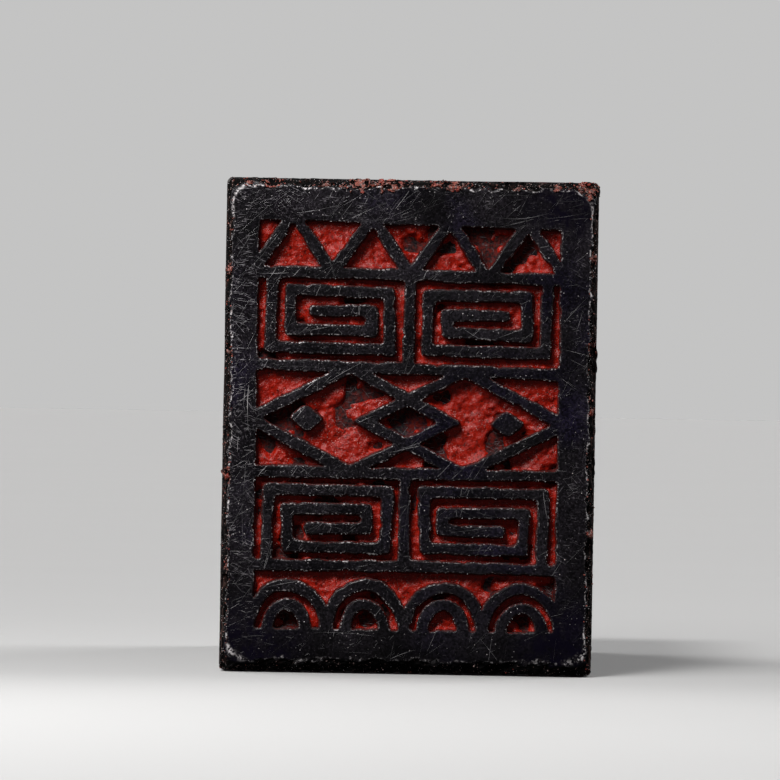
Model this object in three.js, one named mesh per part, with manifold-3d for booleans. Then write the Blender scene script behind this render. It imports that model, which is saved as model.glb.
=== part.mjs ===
// A relief seal stamp: a hand-held stone block whose end is carved with a raised ornament inside a broad
// border. Red seal paste has dried in the pockets of the carving and in chips of the worn rim.
// The block lies on one narrow side, as it does when it is put down. Millimetres, +Z up.
// The printing face looks along -Y, and the origin is under the middle of the block.
import * as THREE from "three";
import { mergeVertices } from "three/addons/utils/BufferGeometryUtils.js";
import Module from "manifold-3d";

// The block
const blockWidth = 34; // across the printing face
const blockHeight = 45; // up the printing face
const blockLength = 58; // from the printing face to the far end
const blockCorner = 0.6; // radius of the four long edges
const shoulderRadius = 2.4; // rounding where the sides meet the far end

// The worn rim of the printing face: how far the wear draws the face in from each side
const rimSides = 0.8;
const rimTop = 0.95;
const rimBottom = 1.3;
const rimDepth = 1.1; // how far back along the sides the wear reaches
const rimMiddle = { depth: 0.3, inset: 0.4 }; // a point that the rounding passes through, in shares
const faceCorner = 2.3; // radius of the face's corners

// The broad border round the carved panel
const borderLeft = 3.1;
const borderRight = 3.5;
const borderTop = 3.9;
const borderBottom = 4.0;
const panelSlip = 0.6; // how much lower the panel's top edge was cut on the right than on the left

// The carving
const carvingDepth = 1.2; // from the printing plane down to the ground
const wallLean = 0.16; // how far a wall leans out on its way down
const strokeShare = 0.583; // of the pitch of the strokes; the cut between two strokes is the rest
const strokeRounding = 0.28; // how far from a stroke's corner its rounding starts
const zigzagPeaks = 4;
const waveCount = 4;
const triangleShare = 0.135; // height of the band of triangles in the whole ornament's height
const spiralShare = 0.225; // height of each row of spirals, likewise
const waveShare = 0.165; // height of the band of waves, likewise; the lozenges have what is left
const linkShare = 0.44; // how much of its own half width each lozenge reaches into the other
const bossWidth = 3.4;
const bossHeight = 2.5;
const handDrift = 0.1; // how far the carver's hand wanders from a true line
const driftLength = 11; // the distance over which it wanders and comes back
const driftSlant = 1.75; // slope of the drift's waves across the panel

// The paste
const pasteThickness = 0.45;
const pasteClearance = 0.06; // between paste and the wall beside it
const crumbShare = 0.6; // how much of its chip's depth a crumb of paste fills

// Chips knocked out of the rim. `along` is the place along the side, from -1 to 1, `bite` is how far a ball
// of that radius sinks into the rim, and `paste` says whether a crumb of paste has stayed in the chip.
// Both sizes are counted in chipSize.
const chipSize = 1;
const chips = [
  { name: "top_right_corner", side: "top", along: 0.985, radius: 1.9, bite: 0.9, paste: true },
  { name: "top_inner_left", side: "top", along: -0.3, radius: 1.0, bite: 0.62, paste: true },
  { name: "top_middle", side: "top", along: -0.12, radius: 1.15, bite: 0.7, paste: true },
  { name: "top_inner_right", side: "top", along: 0.22, radius: 1.0, bite: 0.6, paste: true },
  { name: "top_outer_right", side: "top", along: 0.55, radius: 0.9, bite: 0.5, paste: false },
  { name: "top_outer_left", side: "top", along: -0.78, radius: 0.95, bite: 0.55, paste: true },
  { name: "left_upper", side: "left", along: 0.3, radius: 0.9, bite: 0.42, paste: false },
  { name: "left_middle", side: "left", along: -0.22, radius: 1.05, bite: 0.5, paste: true },
  { name: "left_lower", side: "left", along: -0.66, radius: 1.0, bite: 0.45, paste: false },
  { name: "right_upper", side: "right", along: 0.34, radius: 1.0, bite: 0.5, paste: true },
  { name: "right_lower", side: "right", along: -0.5, radius: 0.95, bite: 0.45, paste: false },
  { name: "bottom_left", side: "bottom", along: -0.52, radius: 0.95, bite: 0.45, paste: false },
  { name: "bottom_right", side: "bottom", along: 0.5, radius: 1.0, bite: 0.5, paste: false },
];
const chipTwist = 1.3; // radians by which each chip is turned against the one before
const chipFlats = 0.795; // distance of a 20-sided ball's flats from its middle, in radii

// Worked out from the sizes above. Strokes are laid out by their middle lines. The border counts as a
// stroke that runs round the panel, so the layout reaches half a stroke past each edge of the panel.
const panelWidth = blockWidth - borderLeft - borderRight;
const panelHeight = blockHeight - borderTop - borderBottom;
const spiralLevels = 5; // strokes above one another in a square spiral and the line that it grows from
const layoutHeight = panelHeight / (1 - (strokeShare * spiralShare) / spiralLevels);
const pitch = (spiralShare * layoutHeight) / spiralLevels; // from one stroke to the next
const strokeWidth = strokeShare * pitch;
const halfStroke = strokeWidth / 2;
const layoutWidth = panelWidth + strokeWidth;
const triangleHeight = triangleShare * layoutHeight;
const spiralHeight = spiralShare * layoutHeight;
const waveHeight = waveShare * layoutHeight;
const lozengeHeight = layoutHeight - triangleHeight - 2 * spiralHeight - waveHeight;
const lean = Math.min(wallLean, (pitch - strokeWidth) / 5); // walls are steeper in a narrow cut
const groundLevel = -carvingDepth; // while the seal is being made, the printing plane is at height 0
const overshoot = 1; // how far a cut reaches past the surface that it opens
const gentleTurn = 0.6; // radians; a corner that turns less than this needs no rounding
const archSteps = 10;
const curveSegments = 2; // in each rounded corner of a stroke
const cornerSteps = 3; // in half of a corner of the block
const shoulderSteps = 5;
const weld = 1e-4; // points nearer than this are one point

const stoneMaterial = new THREE.MeshStandardMaterial({ color: 0x26262a, roughness: 0.48, metalness: 0 });
const pasteMaterial = new THREE.MeshStandardMaterial({ color: 0xa81a12, roughness: 0.34, metalness: 0 });
const crumbMaterial = new THREE.MeshStandardMaterial({ color: 0xa94a38, roughness: 0.6, metalness: 0 });

const wasm = await Module();
wasm.setup();

// A closed three.js geometry as a solid that can be cut and joined. Its points are set on a fine grid, so
// that planes which should be one plane are exactly that.
function solidFrom(geometry) {
  const onGrid = (value) => Math.round(value / weld) * weld;
  const points = Float32Array.from(geometry.getAttribute("position").array, onGrid);
  const bare = new THREE.BufferGeometry().setAttribute("position", new THREE.BufferAttribute(points, 3));
  const merged = mergeVertices(bare.setIndex(geometry.index), weld);
  return new wasm.Manifold(
    new wasm.Mesh({
      numProp: 3,
      vertProperties: merged.getAttribute("position").array,
      triVerts: new Uint32Array(merged.index.array),
    }),
  );
}

function geometryFrom(solid) {
  const mesh = solid.getMesh();
  const geometry = new THREE.BufferGeometry();
  geometry.setAttribute("position", new THREE.BufferAttribute(new Float32Array(mesh.vertProperties), 3));
  geometry.setIndex(new THREE.BufferAttribute(new Uint32Array(mesh.triVerts), 1));
  geometry.computeVertexNormals();
  return geometry;
}

const joined = (solids) => solids.reduce((whole, solid) => whole.add(solid));

// An outline pulled straight from one height to another
function prism(shape, low, high) {
  const depth = high - low;
  const geometry = new THREE.ExtrudeGeometry(shape, { depth, bevelEnabled: false, curveSegments });
  return solidFrom(geometry.translate(0, 0, low));
}

// A stroke as the knife leaves it: its own outline at the printing plane, spreading down to the ground
function carved(shape) {
  const geometry = new THREE.ExtrudeGeometry(shape, {
    depth: overshoot,
    bevelThickness: carvingDepth,
    bevelSize: lean,
    bevelSegments: 1,
    curveSegments,
  });
  return solidFrom(geometry.translate(0, 0, -overshoot - carvingDepth));
}

// The left-hand normal of the line from a to b
function normalOf(a, b) {
  return new THREE.Vector2(a.y - b.y, b.x - a.x).normalize();
}

// Where two offset lines meet: a step from their corner for each millimetre of offset
function mitre(before, after) {
  return before.clone().add(after).divideScalar(1 + before.dot(after));
}

// The outline of a stroke of even width along a path of middle points
function strokeAlong(path) {
  const sides = path.map((point, i) => {
    const before = normalOf(path[Math.max(i, 1) - 1], path[Math.max(i, 1)]);
    const last = Math.min(i, path.length - 2);
    const after = normalOf(path[last], path[last + 1]);
    const step = mitre(before, after).multiplyScalar(halfStroke);
    return [point.clone().add(step), point.clone().sub(step)];
  });
  return [...sides.map(([left]) => left), ...sides.map(([, right]) => right).reverse()];
}

// A closed outline with each of its sides moved outwards
function grown(outline, distance) {
  const outward = THREE.ShapeUtils.isClockWise(outline) ? distance : -distance;
  return outline.map((corner, i) => {
    const before = normalOf(outline.at(i - 1), corner);
    const after = normalOf(corner, outline[(i + 1) % outline.length]);
    return corner.clone().addScaledVector(mitre(before, after), outward);
  });
}

// A closed outline with its sharper corners rounded
function rounded(outline, radius) {
  const most = 0.45; // of a side, so that the roundings at its two ends don't meet
  const shape = new THREE.Shape();
  outline.forEach((corner, i) => {
    const back = outline.at(i - 1).clone().sub(corner);
    const ahead = outline[(i + 1) % outline.length].clone().sub(corner);
    const turns = Math.PI - back.angleTo(ahead) > gentleTurn;
    const cut = turns ? Math.min(radius, most * back.length(), most * ahead.length()) : 0;
    const enter = corner.clone().addScaledVector(back.normalize(), cut);
    const leave = corner.clone().addScaledVector(ahead.normalize(), cut);
    if (i === 0) shape.moveTo(enter.x, enter.y);
    else shape.lineTo(enter.x, enter.y);
    if (turns) shape.quadraticCurveTo(corner.x, corner.y, leave.x, leave.y);
  });
  return shape;
}

// A row of cross-sections with equal numbers of points, the highest first, under one closed skin
function loft(sections) {
  const around = sections[0].length;
  const triangles = [];
  for (let s = 0; s + 1 < sections.length; s++) {
    for (let i = 0; i < around; i++) {
      const a = s * around + i;
      const b = s * around + ((i + 1) % around);
      triangles.push(a, a + around, b + around, a, b + around, b);
    }
  }
  const last = (sections.length - 1) * around;
  for (let i = 1; i + 1 < around; i++) {
    triangles.push(0, i, i + 1, last, last + i + 1, last + i);
  }
  const geometry = new THREE.BufferGeometry().setFromPoints(sections.flat());
  return solidFrom(geometry.setIndex(triangles));
}

// A cross-section of the block: its four sides drawn in, and its corners round
function blockSection(height, inset, radius) {
  const right = blockWidth / 2 - inset.sides - radius;
  const top = blockHeight / 2 - inset.top - radius;
  const bottom = blockHeight / 2 - inset.bottom - radius;
  const outline = new THREE.Shape()
    .absarc(right, top, radius, 0, Math.PI / 2)
    .absarc(-right, top, radius, Math.PI / 2, Math.PI)
    .absarc(-right, -bottom, radius, Math.PI, 1.5 * Math.PI)
    .absarc(right, -bottom, radius, 1.5 * Math.PI, 2 * Math.PI);
  return outline.getPoints(cornerSteps).map((p) => new THREE.Vector3(p.x, p.y, height));
}

// The block before it is carved: worn in front, with rounded shoulders at the far end
function blankBlock() {
  const worn = (share) => ({ sides: share * rimSides, top: share * rimTop, bottom: share * rimBottom });
  const sections = [
    blockSection(0, worn(1), faceCorner),
    blockSection(-rimMiddle.depth * rimDepth, worn(rimMiddle.inset), (faceCorner + blockCorner) / 2),
    blockSection(-rimDepth, worn(0), blockCorner),
  ];
  for (let i = 0; i <= shoulderSteps; i++) {
    const turn = (i / shoulderSteps) * (Math.PI / 2);
    const inset = shoulderRadius * (1 - Math.cos(turn));
    const height = shoulderRadius * (1 - Math.sin(turn)) - blockLength;
    const drawnIn = { sides: inset, top: inset, bottom: inset };
    sections.push(blockSection(height, drawnIn, blockCorner + inset / 2));
  }
  return loft(sections);
}

// The carved panel's outline. Its top edge slopes a little, because it was cut by hand.
function panelOutline(inset) {
  const left = borderLeft - blockWidth / 2 + inset;
  const right = blockWidth / 2 - borderRight - inset;
  const bottom = borderBottom - blockHeight / 2 + inset;
  const top = blockHeight / 2 - borderTop - inset;
  const corners = [
    [left, bottom],
    [right, bottom],
    [right, top - panelSlip],
    [left, top],
  ];
  return new THREE.Shape(corners.map(([x, y]) => new THREE.Vector2(x, y)));
}

// The ornament is laid out on a true rectangle with its lower left corner at 0, 0. This sets a point of the
// layout on the block, with the slope of the panel's top edge and the drift of the carver's hand.
function onBlock([x, y]) {
  const slip = panelSlip * (x / layoutWidth) * (y / layoutHeight);
  const wave = (2 * Math.PI) / driftLength;
  const driftX = handDrift * Math.sin(wave * (y + driftSlant * x));
  const driftY = handDrift * Math.sin(wave * (x - driftSlant * y));
  const corner = new THREE.Vector2(borderLeft - halfStroke, borderBottom - halfStroke);
  return corner.add(new THREE.Vector2(x - blockWidth / 2 + driftX, y - blockHeight / 2 + driftY - slip));
}

const stroke = (points) => strokeAlong(points.map(onBlock));

// A pocket is a closed cell of the ornament that holds one film of paste. Its outline follows the middle
// lines of the strokes round it.
const pocket = (name, points, holes = []) => ({
  name: "paste_" + name,
  outline: points.map(onBlock),
  holes: holes.map((hole) => hole.map(onBlock)),
});

// A band of triangles under the top border
function zigzagBand(bottom) {
  const step = layoutWidth / (2 * zigzagPeaks);
  const top = bottom + triangleHeight;
  const corner = (i) => [i * step, i % 2 ? top : bottom];
  const strokes = [];
  for (let i = 0; i < 2 * zigzagPeaks; i++) {
    strokes.push(stroke([corner(i), corner(i + 1)]));
  }
  const pockets = [pocket("triangle_left_end", [corner(0), corner(1), [0, top]])];
  for (let i = 0; i + 2 <= 2 * zigzagPeaks; i++) {
    const name = i % 2 ? "triangle_down_" + (i + 1) / 2 : "triangle_up_" + (i / 2 + 1);
    pockets.push(pocket(name, [corner(i), corner(i + 1), corner(i + 2)]));
  }
  const last = corner(2 * zigzagPeaks);
  pockets.push(pocket("triangle_right_end", [corner(2 * zigzagPeaks - 1), last, [layoutWidth, top]]));
  return { strokes, pockets };
}

// Two square spirals that mirror each other across a divider. They grow from the line at `start`, upwards
// where `up` is 1 and downwards where it is -1.
function spiralRow(start, up, name) {
  const cell = layoutWidth / 2;
  const level = (turns) => start + up * turns * pitch;
  const turns = [
    [pitch, level(0)],
    [pitch, level(4)],
    [cell - pitch, level(4)],
    [cell - pitch, level(1)],
    [2 * pitch, level(1)],
    [2 * pitch, level(3)],
    [cell - 2 * pitch, level(3)],
    [cell - 2 * pitch, level(2)],
    [3 * pitch, level(2)],
  ];
  const frame = (left, right) => [
    [left, level(0)],
    [right, level(0)],
    [right, level(spiralLevels)],
    [left, level(spiralLevels)],
  ];
  const mirrored = turns.map(([x, y]) => [layoutWidth - x, y]);
  const divider = [
    [cell, level(0)],
    [cell, level(spiralLevels)],
  ];
  return {
    strokes: [stroke(turns), stroke(mirrored), stroke(divider)],
    pockets: [
      pocket("spiral_" + name + "_left", frame(0, cell)),
      pocket("spiral_" + name + "_right", frame(cell, layoutWidth)),
    ],
  };
}

// Two linked lozenges across the middle of the panel, each with a boss in it
function lozengeRow(bottom) {
  const middle = layoutWidth / 2;
  const rise = lozengeHeight / 2;
  const halfWidth = middle / (2 - linkShare); // of one lozenge
  const shift = middle - halfWidth; // from the middle of the panel to the middle of a lozenge
  const inner = halfWidth - shift; // how far a lozenge reaches past the middle of the panel
  const crossing = rise * (1 - shift / halfWidth); // how high the lozenges cross each other
  const at = (x, y) => [middle + x, bottom + rise + y];
  const diamond = [at(inner, 0), at(0, crossing), at(-inner, 0), at(0, -crossing)];
  const row = { strokes: [], pockets: [pocket("lozenge_link", diamond)] };
  for (const hand of [-1, 1]) {
    const side = hand < 0 ? "left" : "right";
    const peak = at(hand * shift, rise);
    const foot = at(hand * shift, -rise);
    const tip = at(hand * middle, 0);
    const [bossX, bossY] = at((hand * (middle + inner)) / 2, 0);
    const boss = [
      [bossX + bossWidth / 2, bossY],
      [bossX, bossY + bossHeight / 2],
      [bossX - bossWidth / 2, bossY],
      [bossX, bossY - bossHeight / 2],
    ];
    const cell = [peak, tip, foot, at(0, -crossing), at(hand * inner, 0), at(0, crossing)];
    row.strokes.push(stroke([peak, tip, foot]));
    row.strokes.push(stroke([peak, at(-hand * inner, 0), foot]));
    row.strokes.push(boss.map(onBlock));
    row.pockets.push(
      pocket("lozenge_" + side, cell),
      pocket("corner_upper_" + side, [tip, at(hand * middle, rise), peak]),
      pocket("corner_lower_" + side, [tip, at(hand * middle, -rise), foot]),
    );
  }
  const notch = (up) => [at(-shift, up * rise), at(0, up * crossing), at(shift, up * rise)];
  row.pockets.push(pocket("notch_upper", notch(1)), pocket("notch_lower", notch(-1)));
  return row;
}

// A band of double arches, like waves, that stand on the bottom border
function waveBand(bottom) {
  const span = layoutWidth / waveCount;
  const top = bottom + waveHeight;
  const arch = (middle, halfSpan, rise) => {
    const curve = new THREE.EllipseCurve(middle, bottom, halfSpan, rise, 0, Math.PI);
    return curve.getPoints(archSteps).map((p) => [p.x, p.y]);
  };
  const band = { strokes: [], pockets: [] };
  const crests = [];
  for (let i = 1; i <= waveCount; i++) {
    const middle = (i - 0.5) * span;
    const crest = arch(middle, span / 2, waveHeight - pitch);
    const core = arch(middle, span / 2 - pitch, waveHeight - 2 * pitch);
    crests.push(crest);
    band.strokes.push(stroke(crest), stroke(core));
    band.pockets.push(pocket("wave_crest_" + i, crest, [core]), pocket("wave_core_" + i, core));
  }
  const frame = [
    [0, bottom],
    [layoutWidth, bottom],
    [layoutWidth, top],
    [0, top],
  ];
  band.pockets.push(pocket("above_waves", frame, crests));
  return band;
}

function ornament() {
  const upperRow = layoutHeight - triangleHeight - spiralHeight;
  const levels = [waveHeight, waveHeight + spiralHeight, upperRow, upperRow + spiralHeight];
  const rails = levels.map((y) =>
    stroke([
      [0, y],
      [layoutWidth / 2, y],
      [layoutWidth, y],
    ]),
  );
  const rows = [
    waveBand(0),
    spiralRow(levels[0], 1, "lower"),
    lozengeRow(levels[1]),
    spiralRow(levels[3], -1, "upper"),
    zigzagBand(levels[3]),
  ];
  return {
    strokes: [...rails, ...rows.flatMap((row) => row.strokes)],
    pockets: rows.flatMap((row) => row.pockets),
  };
}

const radiusOf = (chip) => chip.radius * chipSize;
const biteOf = (chip) => chip.bite * chipSize;

// The ball whose hollow a chip is: coarse, so that the chip has the flat flakes of struck stone
function chipBall(chip, radius) {
  const index = chips.indexOf(chip);
  const ball = new THREE.IcosahedronGeometry(radius, 0);
  return ball.rotateX(chipTwist * index).rotateZ(chipTwist * index * index);
}

// Where a chip's ball is, and which way the worn rim faces there
function chipPlace(chip) {
  const [outX, outY] = { top: [0, 1], bottom: [0, -1], left: [-1, 0], right: [1, 0] }[chip.side];
  const inset = { top: rimTop, bottom: rimBottom, left: rimSides, right: rimSides }[chip.side];
  const onRim = rimMiddle.inset * inset;
  const place = (out, half) => (out ? out * (half - onRim) : chip.along * (half - rimSides));
  const x = place(outX, blockWidth / 2);
  const y = place(outY, blockHeight / 2);
  const facing = new THREE.Vector3(outX, outY, 1).normalize();
  const centre = new THREE.Vector3(x, y, -rimMiddle.depth * rimDepth);
  return { centre: centre.addScaledVector(facing, radiusOf(chip) - biteOf(chip)), facing };
}

function chipCut(chip) {
  const { centre } = chipPlace(chip);
  return solidFrom(chipBall(chip, radiusOf(chip)).translate(...centre));
}

// A crumb of paste lies on the bottom of its chip and has the chip's own form
function pasteCrumb(chip, blank) {
  const { centre, facing } = chipPlace(chip);
  const radius = radiusOf(chip);
  const ball = solidFrom(chipBall(chip, radius - pasteClearance).translate(...centre));
  const flats = chipFlats * radius;
  const hollow = flats - radius + biteOf(chip); // depth of the chip under the rim
  const bottom = new THREE.BoxGeometry(2 * radius, 2 * radius, 2 * radius);
  bottom.translate(0, 0, crumbShare * hollow - flats - radius);
  bottom.applyQuaternion(new THREE.Quaternion().setFromUnitVectors(new THREE.Vector3(0, 0, 1), facing));
  return ball.intersect(solidFrom(bottom.translate(...centre))).intersect(blank);
}

function sealBlock(blank, strokes) {
  const panelCut = new THREE.ExtrudeGeometry(panelOutline(0), {
    depth: overshoot,
    bevelThickness: carvingDepth,
    bevelSize: lean,
    bevelOffset: -lean,
    bevelSegments: 1,
  });
  const relief = joined(strokes.map((outline) => carved(rounded(outline, strokeRounding))));
  const withinBorder = prism(panelOutline(-strokeWidth), groundLevel - overshoot, 0);
  const block = blank.subtract(solidFrom(panelCut)).add(relief.intersect(withinBorder));
  return block.subtract(joined(chips.map(chipCut)));
}

function pasteFilm({ outline, holes }, keptClear) {
  const slab = (points) => prism(new THREE.Shape(points), groundLevel, groundLevel + pasteThickness);
  const whole = holes.reduce((film, hole) => film.subtract(slab(hole)), slab(outline));
  return whole.subtract(keptClear);
}

function named(name, solid, material) {
  const mesh = new THREE.Mesh(geometryFrom(solid), material);
  mesh.name = name;
  return mesh;
}

// What films of paste stay clear of: the feet of the strokes and of the border
function feet(strokes) {
  const reach = lean + pasteClearance;
  const low = groundLevel - overshoot;
  const strokeFoot = (outline) => prism(rounded(grown(outline, reach), strokeRounding + reach), low, 0);
  const border = prism(panelOutline(-2 * strokeWidth), low, 0).subtract(prism(panelOutline(reach), low, 0));
  return joined([border, ...strokes.map(strokeFoot)]);
}

const { strokes, pockets } = ornament();
const blank = blankBlock();
const keptClear = feet(strokes);
const seal = new THREE.Group();
seal.add(named("seal_block", sealBlock(blank, strokes), stoneMaterial));
for (const cell of pockets) {
  seal.add(named(cell.name, pasteFilm(cell, keptClear), pasteMaterial));
}
for (const chip of chips.filter((chip) => chip.paste)) {
  seal.add(named("paste_crumb_" + chip.name, pasteCrumb(chip, blank), crumbMaterial));
}

// The block is laid on its side: its printing face to the front and a narrow side down
seal.rotation.x = Math.PI / 2;
seal.position.set(0, -blockLength / 2, blockHeight / 2);

const part = new THREE.Group();
part.add(seal);
export default part;
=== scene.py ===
import math

import bmesh
import bpy
import numpy as np
from mathutils import Matrix, Vector
from mathutils.geometry import delaunay_2d_cdt


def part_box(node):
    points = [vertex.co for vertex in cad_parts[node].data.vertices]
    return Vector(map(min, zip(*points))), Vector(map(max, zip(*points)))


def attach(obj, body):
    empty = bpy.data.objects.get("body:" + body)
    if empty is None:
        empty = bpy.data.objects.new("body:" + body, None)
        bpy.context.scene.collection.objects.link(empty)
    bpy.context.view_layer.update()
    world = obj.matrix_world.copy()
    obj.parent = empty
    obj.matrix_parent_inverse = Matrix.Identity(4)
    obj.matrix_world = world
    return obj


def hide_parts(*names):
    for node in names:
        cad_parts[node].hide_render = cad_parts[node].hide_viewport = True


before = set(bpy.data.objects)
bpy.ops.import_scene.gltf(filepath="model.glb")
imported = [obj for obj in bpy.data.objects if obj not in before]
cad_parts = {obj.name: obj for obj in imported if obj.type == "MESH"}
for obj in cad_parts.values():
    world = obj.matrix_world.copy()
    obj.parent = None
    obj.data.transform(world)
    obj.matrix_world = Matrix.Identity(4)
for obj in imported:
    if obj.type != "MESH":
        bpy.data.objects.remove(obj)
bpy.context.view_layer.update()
scene = bpy.context.scene
scene.view_settings.view_transform = "Standard"

# Shapes are worked out in millimetres on the printing face: u across, v up, and depth behind the face.
# In the scene u is X, v is Z, and depth runs along Y from the printing plane.
block = dict(
    width=34.0, height=45.0, length=58.0,
    corner=0.6, shoulder=2.4,  # radii of the long edges and of the far end
    rimSides=0.8, rimTop=0.95, rimBottom=1.3, rimDepth=1.1, faceCorner=2.3,
    carving=1.2,  # from the face down to the ground
)
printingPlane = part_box("seal_block")[0].y * 1000


def toScene(flat, depth):
    flat = np.asarray(flat, float)
    back = np.broadcast_to(printingPlane + depth, len(flat))
    return np.column_stack([flat[:, 0], back, flat[:, 1]]) / 1000


def smoothNoise(points, size, seed):  # smooth noise from -1 to 1 at any number of points
    points = np.asarray(points, float)
    if points.shape[1] == 2:
        points = np.column_stack([points, np.zeros(len(points))])
    scaled = points / size + 1000
    cell = np.floor(scaled).astype(np.int64)
    part = scaled - cell
    part = part * part * part * (part * (part * 6 - 15) + 10)
    total = np.zeros(len(points))
    for corner in range(8):
        step = np.array([corner & 1, corner >> 1 & 1, corner >> 2 & 1])
        key = (cell + step).astype(np.uint64)
        mixed = key[:, 0] * np.uint64(73856093) ^ key[:, 1] * np.uint64(19349663)
        mixed ^= key[:, 2] * np.uint64(83492791)
        mixed = (mixed ^ np.uint64(seed * 7919 + 17)) * np.uint64(2654435761)
        mixed = (mixed ^ (mixed >> np.uint64(15))) * np.uint64(2246822519)
        mixed = (mixed ^ (mixed >> np.uint64(13))) & np.uint64(0xFFFFFFFF)
        weight = np.prod(np.where(step == 1, part, 1 - part), axis=1)
        total += weight * (mixed.astype(float) / 0xFFFFFFFF * 2 - 1)
    return total


def roughNoise(points, size, seed, octaves=3):  # the same with finer noise on top
    total, strength = 0, 1.0
    for octave in range(octaves):
        total = total + strength * smoothNoise(points, size / 2 ** octave, seed + octave)
        strength *= 0.55
    return total


# The carving's outlines, in order round the flat face of the CAD block
def faceOutlines():
    mesh = bmesh.new()
    mesh.from_mesh(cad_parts["seal_block"].data)
    bmesh.ops.remove_doubles(mesh, verts=mesh.verts, dist=1e-7)
    plane = printingPlane / 1000
    onFace = {f for f in mesh.faces if all(abs(v.co.y - plane) < 2e-6 for v in f.verts)}
    ahead = {}
    for face in (f for f in mesh.faces if f in onFace):  # in the mesh's own order, the same in each run
        for loop in face.loops:
            if any(other not in onFace for other in loop.edge.link_faces):
                ahead[loop.vert] = loop.link_loop_next.vert
    outlines = []
    while ahead:
        path, here = [], next(iter(ahead))
        while here in ahead:
            path.append((here.co.x * 1000, here.co.z * 1000))
            here = ahead.pop(here)
        outlines.append(np.array(path))
    mesh.free()
    return outlines


def areaOf(outline):  # below 0 for a pocket, above 0 for an island
    u, v = outline.T
    return 0.5 * np.sum(u * np.roll(v, -1) - v * np.roll(u, -1))


def resampled(outline, spacing):
    closed = np.vstack([outline, outline[:1]])
    along = np.concatenate([[0], np.cumsum(np.linalg.norm(np.diff(closed, axis=0), axis=1))])
    count = max(8, round(along[-1] / spacing))
    places = np.arange(count) * along[-1] / count
    return np.column_stack([np.interp(places, along, closed[:, k]) for k in (0, 1)])


def outwardOf(outline):  # to the right of the way round
    way = np.roll(outline, -1, axis=0) - np.roll(outline, 1, axis=0)
    way /= np.maximum(np.linalg.norm(way, axis=1), 1e-9)[:, None]
    return np.column_stack([way[:, 1], -way[:, 0]])


handCut = dict(spacing=0.2, softening=2, wander=0.075, wanderLength=1.7, ragged=0.034, raggedLength=0.5,
               nicks=0.014, nickDepth=0.17, seed=11)


# The knife's line: corners a little soft, edges that wander, and small nicks broken out of the strokes
def cutByHand(outline, number):
    line = resampled(outline, handCut["spacing"])
    for turn in range(handCut["softening"]):
        line = 0.5 * line + 0.25 * (np.roll(line, 1, axis=0) + np.roll(line, -1, axis=0))
    out = outwardOf(line)
    seed = handCut["seed"]
    shift = handCut["wander"] * smoothNoise(line, handCut["wanderLength"], seed)
    shift += handCut["ragged"] * roughNoise(line, handCut["raggedLength"], seed + 3, 2)
    chance = np.random.default_rng(seed + number)
    nicks = np.zeros(len(line))
    for place in np.flatnonzero(chance.random(len(line)) < handCut["nicks"]):
        reach = chance.integers(1, 4)
        for step in range(-reach, reach + 1):
            bite = chance.uniform(0.4, 1) * handCut["nickDepth"] * (1 - abs(step) / (reach + 1))
            nicks[(place + step) % len(line)] = max(nicks[(place + step) % len(line)], bite)
    # a pocket's outline runs clockwise and an island's runs the other way, so in both of them the stone
    # lies to the left, and a nick moves the line that way
    return line + out * (shift - nicks)[:, None]


faceEdges = faceOutlines()
faceEdges.sort(key=lambda line: -abs(areaOf(line)))
cutLines = [cutByHand(line, number) for number, line in enumerate(faceEdges[1:])]
print("outlines:", len(cutLines), "with", sum(len(line) for line in cutLines), "points")


# Distance from the knife's line: above 0 in a pocket, below 0 on a stroke or the border
class distanceField:
    def __init__(self, outlines, cell=0.05, reach=1.1):
        everything = np.vstack(outlines)
        self.cell, self.reach = cell, reach
        self.low = everything.min(0) - reach - 2 * cell
        columns, rows = np.ceil((everything.max(0) + reach + 2 * cell - self.low) / cell).astype(int)
        distance = np.full((rows, columns), reach)
        flips = np.zeros((rows, columns), int)
        for outline in outlines:
            for start, end in zip(outline, np.roll(outline, -1, axis=0)):
                self.mark(distance, flips, start, end)
        inside = np.cumsum(flips, axis=1) % 2
        self.value = np.where(inside == 1, distance, -distance)
        self.slopeV, self.slopeU = np.gradient(self.value, cell)

    def mark(self, distance, flips, start, end):  # one piece of an outline, on the grid round it
        cell, low = self.cell, self.low
        first = np.maximum(((np.minimum(start, end) - self.reach - low) / cell).astype(int), 0)
        last = ((np.maximum(start, end) + self.reach - low) / cell).astype(int) + 2
        u = low[0] + cell * np.arange(first[0], min(last[0], distance.shape[1]))
        v = low[1] + cell * np.arange(first[1], min(last[1], distance.shape[0]))[:, None]
        run = end - start
        share = np.clip(((u - start[0]) * run[0] + (v - start[1]) * run[1]) / max(run @ run, 1e-12), 0, 1)
        gap = np.hypot(u - start[0] - share * run[0], v - start[1] - share * run[1])
        window = distance[first[1]:first[1] + gap.shape[0], first[0]:first[0] + gap.shape[1]]
        np.minimum(window, gap, out=window)
        a, b = (start - low) / cell, (end - low) / cell
        for row in range(math.ceil(min(a[1], b[1])), math.ceil(max(a[1], b[1]))):
            crossing = a[0] + (row - a[1]) * (b[0] - a[0]) / (b[1] - a[1])
            flips[row, math.ceil(crossing)] += 1

    def sample(self, grid, points):
        place = (points - self.low) / self.cell
        place = np.clip(place, 0, np.array(grid.shape[::-1]) - 1.001)
        cell = place.astype(int)
        u, v = (place - cell).T
        i, j = cell.T
        upper = grid[j + 1, i] * (1 - u) + grid[j + 1, i + 1] * u
        return (grid[j, i] * (1 - u) + grid[j, i + 1] * u) * (1 - v) + upper * v

    def at(self, points):
        return self.sample(self.value, points)

    def atLevel(self, points, level):  # the same points, moved straight in or out to that distance
        moved = points.copy()
        for step in range(7):
            slope = np.column_stack([self.sample(self.slopeU, moved), self.sample(self.slopeV, moved)])
            slope /= np.maximum(np.linalg.norm(slope, axis=1), 0.3)[:, None]
            moved += slope * np.clip(level - self.at(moved), -0.06, 0.06)[:, None]
        return moved


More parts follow.
